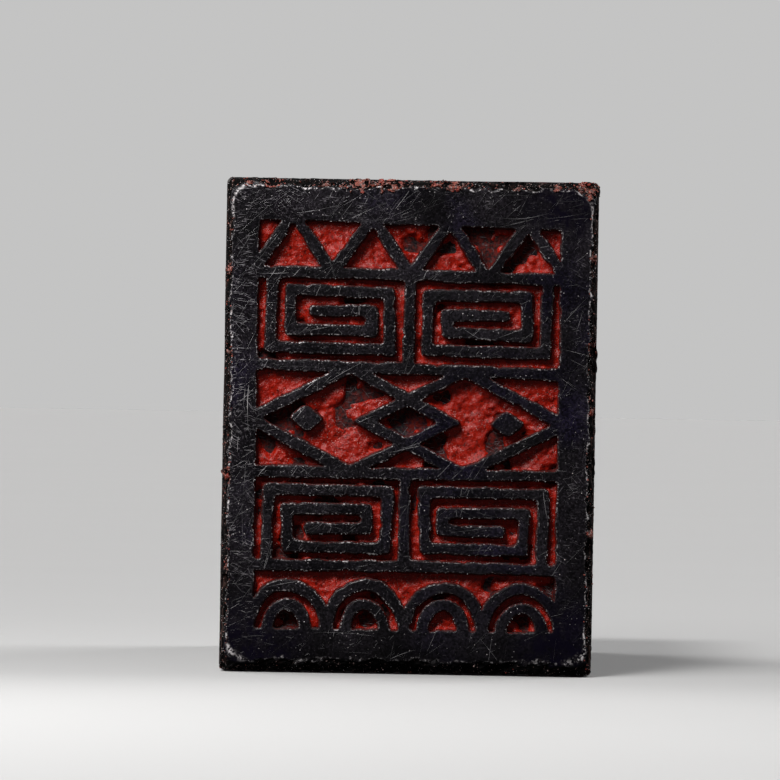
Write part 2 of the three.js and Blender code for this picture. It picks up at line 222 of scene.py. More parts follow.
cut = distanceField(cutLines)
print("distance field", cut.value.shape)


# Triangles between closed rings of flat points, with loose points strewn where keep() says so
def filled(rings, spacing, seed, keep):
    points = np.vstack(rings)
    edges, start = [], 0
    for ring in rings:
        edges += [(start + i, start + (i + 1) % len(ring)) for i in range(len(ring))]
        start += len(ring)
    inner = np.zeros((0, 2))
    if spacing:
        low, high = points.min(0), points.max(0)
        rowStep = spacing * 0.866  # rows of even-sided triangles
        u, v = np.meshgrid(np.arange(low[0], high[0], spacing), np.arange(low[1], high[1], rowStep))
        u = u + (np.arange(u.shape[0]) % 2)[:, None] * spacing / 2
        inner = np.column_stack([u.ravel(), v.ravel()])
        stray = np.random.default_rng(seed).uniform(-0.28, 0.28, inner.shape)  # so that no rows show
        inner += stray * spacing
        inner = inner[keep(inner)]
    every = [Vector(p) for p in np.vstack([points, inner])]
    found, lines, triangles, origins, drawn, _ = delaunay_2d_cdt(every, edges, [], 0, 1e-6, True)
    ringsOn = {frozenset(line): len(sources) for line, sources in zip(lines, drawn)}
    beside = {}
    for number, triangle in enumerate(triangles):
        for k in range(3):
            beside.setdefault(frozenset((triangle[k], triangle[k - 1])), []).append(number)
    # inside is what lies an odd number of rings in from the outside
    waiting = [(pair[0], ringsOn.get(line, 0)) for line, pair in beside.items() if len(pair) == 1]
    inward = {}
    while waiting:
        number, crossed = waiting.pop()
        if number in inward:
            continue
        inward[number] = crossed % 2
        triangle = triangles[number]
        for k in range(3):
            line = frozenset((triangle[k], triangle[k - 1]))
            onward = crossed + ringsOn.get(line, 0)
            waiting += [(other, onward) for other in beside[line] if other not in inward]
    flat = np.array([v[:] for v in found])
    inside = np.array([triangle for number, triangle in enumerate(triangles) if inward.get(number)])
    origin = np.array([o[0] if o else -1 for o in origins])
    return flat, inside, origin


class meshMaker:
    def __init__(self):
        self.points, self.triangles, self.marks, self.count = [], [], [], 0

    def add(self, points, **marks):  # gives the new points' numbers
        self.points.append(np.asarray(points, float))
        self.marks.append({k: np.broadcast_to(np.asarray(v, float), len(points)) for k, v in marks.items()})
        start = self.count
        self.count += len(points)
        return np.arange(start, self.count)

    def strip(self, a, b):  # two closed rows of point numbers; b may have a half or a quarter as many
        ratio = len(a) // len(b)
        for step in range(ratio):
            here = np.arange(len(b)) * ratio + step
            self.triangles.append(np.column_stack([a[(here + 1) % len(a)], a[here], b]))
        after = (np.arange(len(b)) * ratio + ratio) % len(a)
        self.triangles.append(np.column_stack([np.roll(b, -1), a[after], b]))

    # closes what lies between rings that were added before
    def fill(self, rings, numbers, depthAt, spacing=0, seed=0, keep=None, turned=False, **marks):
        flat, triangles, origin = filled(rings, spacing, seed, keep)
        known = np.concatenate(numbers)
        extra = self.add(toScene(flat, depthAt(flat)), **marks)
        isKnown = (origin >= 0) & (origin < len(known))
        chosen = np.where(isKnown, known[np.clip(origin, 0, len(known) - 1)], extra)[triangles]
        self.triangles.append(chosen[:, ::-1] if turned else chosen)

    def arrays(self):
        points, triangles = np.vstack(self.points), np.vstack(self.triangles)
        marks = {}
        for name in sorted({name for marks in self.marks for name in marks}):
            rows = [row.get(name, np.zeros(len(p))) for row, p in zip(self.marks, self.points)]
            marks[name] = np.concatenate(rows)
        return points, triangles, marks


def normalsOf(points, triangles):
    a, b, c = (points[triangles[:, k]] for k in range(3))
    flat = np.cross(b - a, c - a)
    normals = np.zeros_like(points)
    for k in range(3):
        np.add.at(normals, triangles[:, k], flat)
    return normals / np.maximum(np.linalg.norm(normals, axis=1), 1e-15)[:, None]


def countedAnew(faces, count):  # which points the faces use, and the faces with only those counted
    used = np.unique(faces)
    places = np.full(count, -1)
    places[used] = np.arange(len(used))
    return used, places[faces]


def setMark(mesh, name, values):  # one number for each point
    layer = mesh.attributes.new(name, "FLOAT", "POINT")
    layer.data.foreach_set("value", np.asarray(values, np.float32))


def objectFrom(name, data):
    made = bpy.data.objects.new(name, data)
    scene.collection.objects.link(made)
    return made


# One piece from arrays in metres, with doubles merged, pinholes closed and faces turned outwards
def pieceFrom(name, points, triangles, material, marks=None, boxMap=False):
    mesh = bpy.data.meshes.new(name)
    mesh.from_pydata(points.tolist(), [], triangles.tolist())
    for mark, values in (marks or {}).items():
        setMark(mesh, mark, values)
    work = bmesh.new()
    work.from_mesh(mesh)
    bmesh.ops.remove_doubles(work, verts=work.verts, dist=1e-6)
    bmesh.ops.dissolve_degenerate(work, edges=work.edges, dist=1e-8)
    torn = [edge for edge in work.edges if len(edge.link_faces) == 1]
    bmesh.ops.holes_fill(work, edges=torn, sides=0)
    bmesh.ops.triangulate(work, faces=[face for face in work.faces if len(face.verts) > 3])
    bmesh.ops.delete(work, geom=[vert for vert in work.verts if not vert.link_faces], context="VERTS")
    bmesh.ops.recalc_face_normals(work, faces=work.faces)
    for face in work.faces:
        face.smooth = True
    work.to_mesh(mesh)
    openEdges = sum(1 for edge in work.edges if len(edge.link_faces) != 2)
    print(f"{name}: {len(mesh.polygons)} faces, {openEdges} open edges")
    work.free()
    if boxMap:
        mapFromBox(mesh)
    mesh.materials.append(material)
    return objectFrom(name, mesh)


# A flat map for marks on the block's faces: each is seen along its main direction, apart from the others
def mapFromBox(mesh):
    layer = mesh.uv_layers.new(name="box")
    places = np.empty(len(mesh.vertices) * 3)
    mesh.vertices.foreach_get("co", places)
    corners = np.empty(len(mesh.loops), np.int32)
    mesh.loops.foreach_get("vertex_index", corners)
    places = places.reshape(-1, 3)[corners]
    normals = np.array([polygon.normal[:] for polygon in mesh.polygons])
    facing = np.abs(normals).argmax(axis=1).repeat(3)
    flat = np.where((facing == 0)[:, None], places[:, [1, 2]] + 0.2, places[:, [0, 2]])
    flat = np.where((facing == 2)[:, None], places[:, [0, 1]] + 0.5, flat)
    layer.data.foreach_set("uv", flat.astype(np.float32).ravel())


class nodeTree:  # a geometry tree with named inputs
    def __init__(self, name, **inputs):
        self.tree = bpy.data.node_groups.new(name, "GeometryNodeTree")
        interface = self.tree.interface
        interface.new_socket("Geometry", in_out="INPUT", socket_type="NodeSocketGeometry")
        for label, value in inputs.items():
            kind = "NodeSocketInt" if isinstance(value, int) else "NodeSocketFloat"
            kind = "NodeSocketMaterial" if isinstance(value, bpy.types.Material) else kind
            socket = interface.new_socket(label, in_out="INPUT", socket_type=kind)
            socket.default_value = value
        interface.new_socket("Geometry", in_out="OUTPUT", socket_type="NodeSocketGeometry")
        self.given = self.tree.nodes.new("NodeGroupInput").outputs
        self.result = self.tree.nodes.new("NodeGroupOutput").inputs[0]

    def node(self, kind, settings=None, **inputs):  # _0, _1 and so on name a socket by its number
        node = self.tree.nodes.new(kind)
        for name, value in (settings or {}).items():
            setattr(node, name, value)
        for name, value in inputs.items():
            socket = node.inputs[int(name[1:])] if name[0] == "_" else node.inputs[name.replace("_", " ")]
            if isinstance(value, bpy.types.NodeSocket):
                self.tree.links.new(value, socket)
            else:
                socket.default_value = value
        return node

    def finish(self, geometry):
        real = self.node("GeometryNodeRealizeInstances", Geometry=geometry).outputs[0]
        coated = self.node("GeometryNodeSetMaterial", Geometry=real, Material=self.given["material"])
        self.tree.links.new(coated.outputs[0], self.result)
        return self.tree


def grownFrom(name, base, tree, smooth=True, **values):  # the tree's result as a plain piece
    holder = objectFrom(name + "_base", base)
    modifier = holder.modifiers.new("nodes", "NODES")
    modifier.node_group = tree
    for item in tree.interface.items_tree:
        if item.in_out == "INPUT" and item.name in values:
            modifier[item.identifier] = values[item.name]
    bpy.context.view_layer.update()
    evaluated = holder.evaluated_get(bpy.context.evaluated_depsgraph_get())
    mesh = bpy.data.meshes.new_from_object(evaluated)
    mesh.name = name
    bpy.data.objects.remove(holder)
    for polygon in mesh.polygons:
        polygon.use_smooth = smooth
    print(f"{name}: {len(mesh.polygons)} faces")
    return objectFrom(name, mesh)


class finish:  # a material under construction: short names for the nodes that it is made of
    def __init__(self, name, **fixed):
        self.material = bpy.data.materials.new(name)
        self.material.use_nodes = True
        self.tree = self.material.node_tree
        self.tree.nodes.clear()
        self.colour = None
        self.shader = self.new("BsdfPrincipled")
        self.tree.links.new(self.shader.outputs[0], self.new("OutputMaterial").inputs[0])
        self.place = self.new("TexCoord").outputs["Object"]
        for socket, value in fixed.items():
            self.shader.inputs[socket.replace("_", " ")].default_value = value

    def new(self, kind, **settings):
        node = self.tree.nodes.new("ShaderNode" + kind)
        for name, value in settings.items():
            setattr(node, name, value)
        return node

    def plug(self, socket, value):
        if isinstance(value, bpy.types.NodeSocket):
            self.tree.links.new(value, socket)
        else:
            socket.default_value = value

    def mapping(self, scale=(1, 1, 1), turn=(0, 0, 0), shift=(0, 0, 0), place=None):
        node = self.new("Mapping")
        self.plug(node.inputs["Vector"], place or self.place)
        node.inputs["Scale"].default_value = scale
        node.inputs["Rotation"].default_value = turn
        node.inputs["Location"].default_value = shift
        return node.outputs[0]

    def noise(self, size, place=None, detail=2.0, roughness=0.55, distortion=0.0):  # size in millimetres
        node = self.new("TexNoise")
        self.plug(node.inputs["Vector"], place or self.place)
        node.inputs["Scale"].default_value = 1000 / size
        node.inputs["Detail"].default_value = detail
        node.inputs["Roughness"].default_value = roughness
        node.inputs["Distortion"].default_value = distortion
        return node.outputs["Fac"]

    def patches(self, size, low, high, start=0.0, end=1.0, **grain):  # noise with its levels stretched
        return self.ramp(self.noise(size, **grain), low, high, start, end)

    # short dashes or dots, one in each cell: sizes in millimetres, and `chance` of the cells have one
    def dashes(self, angle, length, width, chance, shift, spread):
        flatMap = self.new("UVMap", uv_map="box").outputs[0]
        turned = self.mapping(turn=(0, 0, angle), shift=(shift, 1.7 * shift, 0), place=flatMap)
        stretch = 1000 / (width * spread)
        stretched = self.mapping(scale=(stretch * width / length, stretch, 0), place=turned)
        cells = self.new("TexVoronoi", voronoi_dimensions="2D")
        self.plug(cells.inputs["Vector"], stretched)
        cells.inputs["Scale"].default_value = 1.0
        one = self.ramp(cells.outputs["Distance"], 0.5 / spread, 0.25 / spread)
        lot = self.new("SeparateColor")
        self.plug(lot.inputs[0], cells.outputs["Color"])
        return self.product(one, self.math("LESS_THAN", lot.outputs[0], chance))

    def ramp(self, value, low, high, start=0.0, end=1.0):
        node = self.new("MapRange", interpolation_type="SMOOTHSTEP")
        self.plug(node.inputs["Value"], value)
        for socket, number in zip(("From Min", "From Max", "To Min", "To Max"), (low, high, start, end)):
            node.inputs[socket].default_value = number
        return node.outputs[0]

    def math(self, kind, a, b=0.0):
        node = self.new("Math", operation=kind)
        self.plug(node.inputs[0], a)
        self.plug(node.inputs[1], b)
        return node.outputs[0]

    def plus(self, a, b):
        return self.math("ADD", a, b)

    def minus(self, a, b):
        return self.math("SUBTRACT", a, b)

    def size(self, a):  # without its sign
        return self.math("ABSOLUTE", a)

    def product(self, first, *others):
        for other in others:
            first = self.math("MULTIPLY", first, other)
        return first

    def most(self, first, *others):
        for other in others:
            first = self.math("MAXIMUM", first, other)
        return first

    def axis(self, name):
        node = self.new("SeparateXYZ")
        self.plug(node.inputs[0], self.place)
        return node.outputs[name]

    def along(self, name, low, high, start=0.0, end=1.0):  # between two places on an axis, in millimetres
        return self.ramp(self.axis(name), low / 1000, high / 1000, start, end)

    def spot(self, u, v, inner, outer):  # one inside the inner radius, none outside the outer: millimetres
        away = self.new("VectorMath", operation="LENGTH")
        self.plug(away.inputs[0], self.mapping(scale=(1, 0, 1), shift=(-u / 1000, 0, -v / 1000)))
        return self.ramp(away.outputs["Value"], inner / 1000, outer / 1000, 1.0, 0.0)

    def mark(self, name):
        return self.new("Attribute", attribute_name=name).outputs["Fac"]

    def blend(self, share, a, b):  # colours
        node = self.new("Mix", data_type="RGBA")
        self.plug(node.inputs["Factor"], share)
        for socket, colour in ((node.inputs[6], a), (node.inputs[7], b)):
            self.plug(socket, colour if isinstance(colour, bpy.types.NodeSocket) else (*colour, 1))
        return node.outputs[2]

    def lay(self, tone, *shares):  # a tone over the colour so far, as much as all its shares together say
        self.colour = self.blend(self.product(*shares), self.colour, tone)

    def shade(self, *factors):
        node = self.new("VectorMath", operation="SCALE")
        self.plug(node.inputs[0], self.colour)
        self.plug(node.inputs["Scale"], self.product(*factors))
        self.colour = node.outputs[0]

    def bump(self, height, distance, strength=1.0, over=None):  # distance in millimetres
        node = self.new("Bump")
        self.plug(node.inputs["Height"], height)
        node.inputs["Distance"].default_value = distance / 1000
        node.inputs["Strength"].default_value = strength
        if over:
            self.plug(node.inputs["Normal"], over)
        return node.outputs[0]

    def done(self, **linked):
        for socket, value in dict(Base_Color=self.colour, **linked).items():
            self.plug(self.shader.inputs[socket.replace("_", " ")], value)
        return self.material


stoneLook = dict(
    dark=(0.0044, 0.0036, 0.0046), light=(0.0102, 0.0086, 0.0108), blue=(0.0052, 0.0036, 0.0130),
    stipple=(0.074, 0.065, 0.076), scratch=(0.54, 0.50, 0.53), corner=(0.0020, 0.0011, 0.0056),
    edge=(0.020, 0.017, 0.018), glint=(0.74, 0.69, 0.69), stain=(0.105, 0.0065, 0.0035),
    gouged=(0.036, 0.029, 0.027), rim=(0.0016, 0.0012, 0.0012), residue=(0.019, 0.0085, 0.0065),
    streak=(0.046, 0.024, 0.020), grit=(0.55, 0.38, 0.35), smear=(0.085, 0.014, 0.010),
    body=(0.0072, 0.0066, 0.0072), bodyPale=(0.0215, 0.0200, 0.0212), rubbed=(0.150, 0.140, 0.134),
    polish=0.26,  # how strongly the sides shine
    paintedLipGlints=[  # u, v, and the radii of painted highlights on the face's edge
        (-15.4, 43.1, 1.3, 2.3), (15.9, 41.3, 1.2, 2.0), (5.3, 43.5, 0.35, 0.7), (-9.6, 44.0, 0.3, 0.6),
        (-5.4, 43.6, 0.3, 0.6), (-15.9, 2.0, 0.25, 0.8), (15.9, 3.6, 0.4, 1.1), (15.9, 7.6, 0.4, 0.9),
    ],
    paintedShadeCorners=[(-14.0, 2.0, 1.5, 6.5), (14.5, 2.5, 1.5, 6.5), (13.8, 42.8, 0.8, 5.0)],  # painted shade at three of the face's corners, given by the same four numbers
    hatching=[  # angle, length, width, share of the cells, and a shift that keeps the sets apart
        (0.08, 0.9, 0.056, 0.42, 0.001), (-0.20, 0.7, 0.050, 0.30, 0.002), (0.45, 1.3, 0.044, 0.26, 0.003),
        (0.85, 1.5, 0.042, 0.20, 0.004), (1.35, 0.6, 0.044, 0.12, 0.005), (2.2, 1.0, 0.040, 0.08, 0.006),
    ],
)


def blackStone():
    p = stoneLook
    look = finish("black_stone", IOR=1.45, Specular_IOR_Level=0.14, Coat_Roughness=0.26, Coat_IOR=1.45)
    carved, rim, side, edge = (look.mark(name) for name in ("carved", "rim", "side", "edge"))
    polished = look.minus(1.0, look.most(carved, rim))
    front = look.minus(1.0, side)
    offCentre = look.size(look.axis("X"))
    offMiddle = look.size(look.minus(look.axis("Z"), block["height"] / 2000))

    look.colour = look.blend(look.patches(7.0, 0.35, 0.68, detail=4, roughness=0.6), p["dark"], p["light"])
    look.lay(p["blue"], look.patches(13.0, 0.5, 0.72, 0, 0.85, detail=3))

    # the sides, the top and the far end: a duller, cloudy skin with faint veins
    cloudy = look.patches(9.0, 0.38, 0.66, detail=6, roughness=0.62, distortion=0.6)
    skin = look.blend(cloudy, p["body"], p["bodyPale"])
    offLine = look.size(look.minus(look.noise(26.0, detail=4, roughness=0.5, distortion=0.7), 0.5))
    vein = look.product(look.ramp(offLine, 0.006, 0.0, 0.0, 0.42), look.patches(5.0, 0.42, 0.6, detail=2))
    look.lay(look.blend(vein, skin, p["rubbed"]), side)

    # rubbed pale along the long edges and round the far end
    longEdge = look.product(look.ramp(offCentre, 0.0161, 0.0168), look.ramp(offMiddle, 0.0216, 0.0223))
    shoulder = look.most(look.ramp(offCentre, 0.0153, 0.0161), look.ramp(offMiddle, 0.0208, 0.0216))
    shoulder = look.product(shoulder, look.along("Y", 27.0, 27.9),
                            look.patches(4.0, 0.38, 0.62, 0.12, 0.75, detail=4, roughness=0.65))
    rubbing = look.patches(2.2, 0.36, 0.62, detail=5, roughness=0.7)
    look.lay(p["rubbed"], look.most(longEdge, shoulder), side, rubbing)

    # how strongly the marks and the painted glints show: most at the left and the top, least at the foot and
    # on the other sides
    markStrength = look.product(look.along("X", -12, 13, 1.0, 0.5), look.along("Z", 0, 12, 0.4, 1.0), front)
    markStrength = look.plus(markStrength, look.product(side, 0.75))
    markStrength = look.product(markStrength, look.patches(4.5, 0.32, 0.68, 0.55, 1.25, detail=3))

    # a fine stipple, then short hatching, dense on the left
    stipple = look.patches(0.18, 0.54, 0.70, detail=3, roughness=0.65)
    look.lay(p["stipple"], stipple, markStrength, polished, look.ramp(side, 0, 1, 0.8, 0.12))
    hatch = look.most(*(look.dashes(*row, spread=4.0) for row in p["hatching"]))
    dots = look.product(look.dashes(0.3, 0.11, 0.06, 0.2, 0.011, 3.4), 0.8)
    onLeft = look.product(look.along("X", -12.5, -14.2), front)
    onBorder = look.most(look.ramp(offCentre, 0.0128, 0.0136), side, look.along("Z", 40.3, 41.1))
    sparse = look.product(look.patches(3.0, 0.36, 0.7, 0.04, 0.52, detail=3),
                          look.ramp(onBorder, 0, 1, 0.2, 1))
    thick = look.plus(look.product(onLeft, 0.42), sparse)
    uneven = look.patches(0.45, 0.3, 0.7, 0.35, 0.85, detail=2)
    marks = look.product(look.most(hatch, dots), thick, uneven, markStrength, polished)
    look.lay(p["scratch"], marks)
    specks = look.product(look.dashes(0.3, 0.10, 0.085, 0.11, 0.021, 4.5),
                          look.patches(1.6, 0.38, 0.62, 0.15, 1.0, detail=2))
    look.lay(p["glint"], specks, polished, look.ramp(side, 0, 1, 0.85, 0.2))

    # grain and broad clouds, and painted shade darkening the foot of the face
    grains = look.patches(0.24, 0.35, 0.65, -0.7, 0.7, detail=3, roughness=0.7)
    look.shade(look.plus(1.0, look.product(grains, look.ramp(side, 0, 1, 1.0, 0.3))))
    look.shade(look.patches(5.0, 0.34, 0.62, 0.55, 1.2, detail=3, roughness=0.6))
    ragged = look.plus(look.axis("Z"), look.product(look.noise(2.2, detail=3), 0.0028))
    foot = look.ramp(ragged, 0.0026, 0.0070, 0.42, 1.0)
    look.shade(look.plus(look.product(foot, front), side))

    # painted shade: three corners of the face darkened nearly black, with a violet cast
    corners = look.product(look.most(*(look.spot(*place) for place in p["paintedShadeCorners"])),
                           look.patches(1.1, 0.38, 0.6, 0.25, 0.92, detail=4, roughness=0.7))
    look.lay(p["corner"], corners, front, polished)

    # paste smeared over the sides near the printing end
    nearFace = look.along("Y", printingPlane + 1, printingPlane + 7.5, 1.0, 0.0)
    drawn = look.mapping(scale=(1, 0.3, 1))
    streaks = look.patches(1.0, 0.48, 0.62, place=drawn, detail=4, roughness=0.65)
    look.lay(p["smear"], nearFace, side, streaks)

    # the strokes' edges paler, partly wear and partly painted highlight, with painted highlights as bright
    # beads along them and on the face's own edge
    look.lay(p["edge"], edge, look.patches(0.7, 0.40, 0.62, 0.05, 1.0, detail=3))
    beads = look.product(look.patches(0.19, 0.56, 0.64, detail=1),
                         look.patches(1.7, 0.38, 0.6, 0.1, 0.9, detail=2))
    look.lay(p["glint"], beads, edge, front, markStrength)
    paintedLipGlints = look.most(*(look.spot(*place) for place in p["paintedLipGlints"]))
    look.lay(p["glint"], paintedLipGlints, edge, look.patches(0.2, 0.44, 0.60, 0.0, 0.9, detail=2))
    # painted highlight along the face's lip at the top, the sides and the foot
    onLip = look.most(look.along("Z", 42.5, 43.1), look.ramp(offCentre, 0.0154, 0.0158, 0.0, 0.8),
                      look.along("Z", 2.2, 1.6, 0.0, 0.4))
    look.lay(p["glint"], edge, front, look.patches(0.42, 0.55, 0.62, detail=2), onLip)

    # walls and ground of the carving: scraped bare, or stained by paste
    look.lay(p["gouged"], carved, look.patches(0.22, 0.46, 0.66, detail=3))
    look.lay(p["scratch"], hatch, carved, 0.35)
    smudges = look.product(look.patches(1.1, 0.34, 0.54, detail=4, roughness=0.65),
                           look.patches(0.3, 0.40, 0.60, 0.15, 1, detail=4, roughness=0.7))
    look.lay(p["stain"], carved, smudges)

    # the broken rim: dark stone painted darker still, as shade on a slope turned from the light, with brown
    # residue, upright streaks on its outer sides and pale grit
    look.lay(p["rim"], rim)
    look.lay(p["residue"], rim, look.patches(0.7, 0.57, 0.69, 0, 0.8, detail=5, roughness=0.7))
    upright = look.mapping(scale=(1, 1, 0.10))
    threads = look.patches(0.28, 0.53, 0.64, place=upright, detail=3, roughness=0.6)
    look.lay(p["streak"], threads, look.ramp(offCentre, 0.01615, 0.01655), rim, 0.8)
    look.lay(p["grit"], rim, look.patches(0.17, 0.68, 0.74, 0, 0.7, detail=1))

    roughness = look.patches(3.0, 0.3, 0.7, 0.27, 0.38, detail=4)
    for place, change in ((carved, 0.2), (rim, 0.70), (side, 0.10), (edge, -0.12)):
        roughness = look.plus(roughness, look.product(place, change))

    offEdges = look.minus(1.0, look.product(edge, 0.7))
    grain = look.bump(look.product(look.noise(0.16, detail=3, roughness=0.65), offEdges), 0.018, 0.9)
    worn = look.bump(look.noise(1.4, detail=3), 0.012, 0.6, grain)
    scored = look.bump(marks, 0.02, 0.9, worn)
    broken = look.product(look.most(rim, carved), look.noise(0.34, detail=5, roughness=0.72))
    pitted = look.bump(broken, 0.16, 0.9, scored)
    polish = look.product(look.patches(8.0, 0.32, 0.66, 0.6, 1.0, detail=4), side, p["polish"],
                          look.minus(1.0, rim))
    return look.done(Roughness=roughness, Normal=pitted, Coat_Weight=polish)


pasteLook = dict(
    red=(0.320, 0.0092, 0.0024), deep=(0.215, 0.0058, 0.0022), pit=(0.050, 0.0042, 0.0026),
    dusty=(0.34, 0.072, 0.048), paintedSparkle=(0.68, 0.42, 0.38),
)


def redPaste():
    p = pasteLook
    look = finish("red_paste", IOR=1.5, Specular_IOR_Level=0.24)
    tone = look.plus(look.patches(1.5, 0.3, 0.66, 0.0, 0.55, detail=3, roughness=0.6),
                     look.patches(0.34, 0.4, 0.6, 0.0, 0.6, detail=4, roughness=0.7))
    look.colour = look.blend(look.ramp(tone, 0.18, 0.72), p["deep"], p["red"])
    # patches where the paste is dry and dusty; the painted sparkle highlights also gather there
    dry = look.patches(2.0, 0.42, 0.62, detail=2)
    look.lay(p["dusty"], look.patches(0.17, 0.60, 0.72, 0, 0.4, detail=3, roughness=0.65), dry)
    look.lay(p["pit"], look.patches(0.26, 0.47, 0.36, detail=4, roughness=0.72),
             look.patches(1.1, 0.36, 0.60, 0.45, 1.0, detail=2))
    # painted highlights: small pale sparkles laid into the paste's colour
    look.lay(p["paintedSparkle"], look.patches(0.11, 0.66, 0.73, detail=1), look.ramp(dry, 0.0, 1.0, 0.15, 0.8))
    lumps = look.bump(look.noise(0.34, detail=3, roughness=0.6), 0.06, 0.9)
    beads = look.bump(look.noise(0.13, detail=2), 0.065, 1.0, lumps)
    return look.done(Roughness=look.patches(0.5, 0.3, 0.7, 0.20, 0.40, detail=3), Normal=beads)


crustLook = dict(
    salmon=(0.235, 0.050, 0.030), brown=(0.024, 0.009, 0.007), red=(0.27, 0.018, 0.008),
    pale=(0.50, 0.38, 0.35),
)


def dryPaste():
    p = crustLook
    look = finish("dry_paste", IOR=1.45)
    flaky = look.patches(0.28, 0.40, 0.56, detail=4, roughness=0.7)
    look.colour = look.blend(flaky, p["brown"], p["salmon"])
    look.lay(p["red"], look.patches(1.2, 0.52, 0.66, 0, 0.7, detail=2))
    look.lay(p["pale"], look.patches(0.13, 0.62, 0.7, 0, 0.8, detail=1))
    lumps = look.bump(look.noise(0.22, detail=4, roughness=0.7), 0.09, 0.9)
    return look.done(Roughness=look.patches(0.3, 0.3, 0.7, 0.4, 0.7), Normal=lumps)


dustLook = dict(grey=(0.22, 0.21, 0.215), white=(0.72, 0.69, 0.70))


def paleDust(name, fading):  # stone crushed white: the floor of a scratch and the grit on an edge
    look = finish(name, IOR=1.45)
    look.colour = look.blend(look.noise(0.3), dustLook["grey"], dustLook["white"])
    if fading:  # to the right and at the foot
        look.shade(look.along("X", -10, 6, 1.0, 0.42), look.along("Z", 2, 20, 0.6, 1.0),
                   look.patches(2.2, 0.42, 0.62, 0.25, 1.5))
    return look.done(Roughness=look.patches(0.2, 0.3, 0.7, 0.3, 0.6))


stone, paste, crust = blackStone(), redPaste(), dryPaste()
dust, scratchDust = paleDust("crushed_stone", False), paleDust("scratch_dust", True)
print("materials made")

# distance from the knife's line, how deep the stone's surface is there, how bright it is (rubbed smooth, and
# painted highlight), and the zone
wallProfile = [
    (-0.16, 0.0, 0.0, "edge"), (-0.10, 0.012, 0.4, "edge"), (-0.05, 0.04, 1.0, "edge"),
    (0.0, 0.085, 0.9, "edge"), (0.03, 0.22, 0.3, "edge"), (0.08, 0.65, 0.0, "wall"), (0.13, 1.04, 0.0, "wall"),
    (0.2, block["carving"], 0.0, "ground"),
]
unevenness = dict(edge=(0.6, 1.1, 8), wall=(0.07, 0.7, 5))  # share of the depth, length and seed
strokeEdge, groundEdge = wallProfile[0][0], wallProfile[-1][0]
groundRough = dict(gouges=0.042, length=0.8, seed=41)


def groundDepth(points):
    p = groundRough
    return block["carving"] + p["gouges"] * roughNoise(points, p["length"], p["seed"], 3)


# A level line of the rim or a cross-section of the body: the same number of points in each
columns = dict(across=150, up=200, corner=24)


def section(inset, radius):
    half = block["width"] / 2
    right = half - inset["sides"] - radius
    top = block["height"] - inset["top"] - radius
    bottom = inset["bottom"] + radius
    turn = np.linspace(0, math.pi / 2, columns["corner"])
    line = []
    corners = [(right, top, 0), (-right, top, 1), (-right, bottom, 2), (right, bottom, 3)]
    for number, (u, v, quarter) in enumerate(corners):
        angle = turn + quarter * math.pi / 2
        arc = np.column_stack([u + radius * np.cos(angle), v + radius * np.sin(angle)])
        nextU, nextV, nextQuarter = corners[(number + 1) % 4]
        start = nextQuarter * math.pi / 2
        end = np.array([nextU + radius * math.cos(start), nextV + radius * math.sin(start)])
        count = columns["across"] if number % 2 == 0 else columns["up"]
        share = np.linspace(0, 1, count + 2)[1:-1, None]
        line += [arc, arc[-1] + (end - arc[-1]) * share]
    return np.vstack(line)


# The rim, from 0 at the block's sides to 1 at the face's edge and on to the flat face
rimShares = [1.56, 1.45, *np.linspace(1.36, 0.61, 16), 0.53, 0.45, 0.37, 0.29, 0.21, 0.14, 0.08, 0.02]
rimWear = dict(
    wander=0.15, wanderLength=2.4, ragged=0.17, raggedLength=0.8, most=0.34, wholeFrom=0.3, calmCorner=0.6,
    lip=0.15, lipShare=0.42, cornerLip=0.30, cornerReach=2.6, slope=2.36, lipSlope=1.25, seed=52,
)


def rimLine(share):
    sides = {"sides": "rimSides", "top": "rimTop", "bottom": "rimBottom"}
    inset = {side: share * block[wide] for side, wide in sides.items()}
    return section(inset, block["corner"] + (block["faceCorner"] - block["corner"]) * share)


def rimDepthAt(share, lip=rimWear["lip"]):
    out = np.maximum(0.0, 1 - share)
    lipDepth = rimWear["lipShare"] * lip
    slope = (block["rimDepth"] - lipDepth) * out ** rimWear["slope"]
    return slope + lipDepth * np.minimum(1.0, out / lip) ** rimWear["lipSlope"]


# The face's edge is worn in and out, and rounder at the corners: the share as worn, and how wide its lip is
def wornShare(ring, share):
    p = rimWear
    shift = p["wander"] * smoothNoise(ring, p["wanderLength"], p["seed"])
    shift += p["ragged"] * roughNoise(ring, p["raggedLength"], p["seed"] + 1, 3)
    fromSide = block["width"] / 2 - block["rimSides"] - np.abs(ring[:, 0])
    fromEnd = block["height"] / 2 - block["rimBottom"] - np.abs(ring[:, 1] - block["height"] / 2)
    cornered = np.exp(-(fromSide ** 2 + fromEnd ** 2) / p["cornerReach"] ** 2)
    shift = np.clip(shift, -p["most"], p["most"]) * min(1.0, share / p["wholeFrom"])
    worn = share - shift * (1 - p["calmCorner"] * cornered)
    return worn, p["lip"] + p["cornerLip"] * cornered


def insideFace(points, margin):
    half = block["width"] / 2 - block["rimSides"] - margin
    high, low = block["height"] - block["rimTop"] - margin, block["rimBottom"] + margin
    inside = (np.abs(points[:, 0]) < half) & (points[:, 1] < high) & (points[:, 1] > low)
    corner = np.column_stack([
        np.abs(points[:, 0]) - (half - block["faceCorner"]),
        np.maximum(points[:, 1] - (high - block["faceCorner"]), (low + block["faceCorner"]) - points[:, 1]),
    ])
    return inside & (np.linalg.norm(np.maximum(corner, 0), axis=1) < block["faceCorner"])


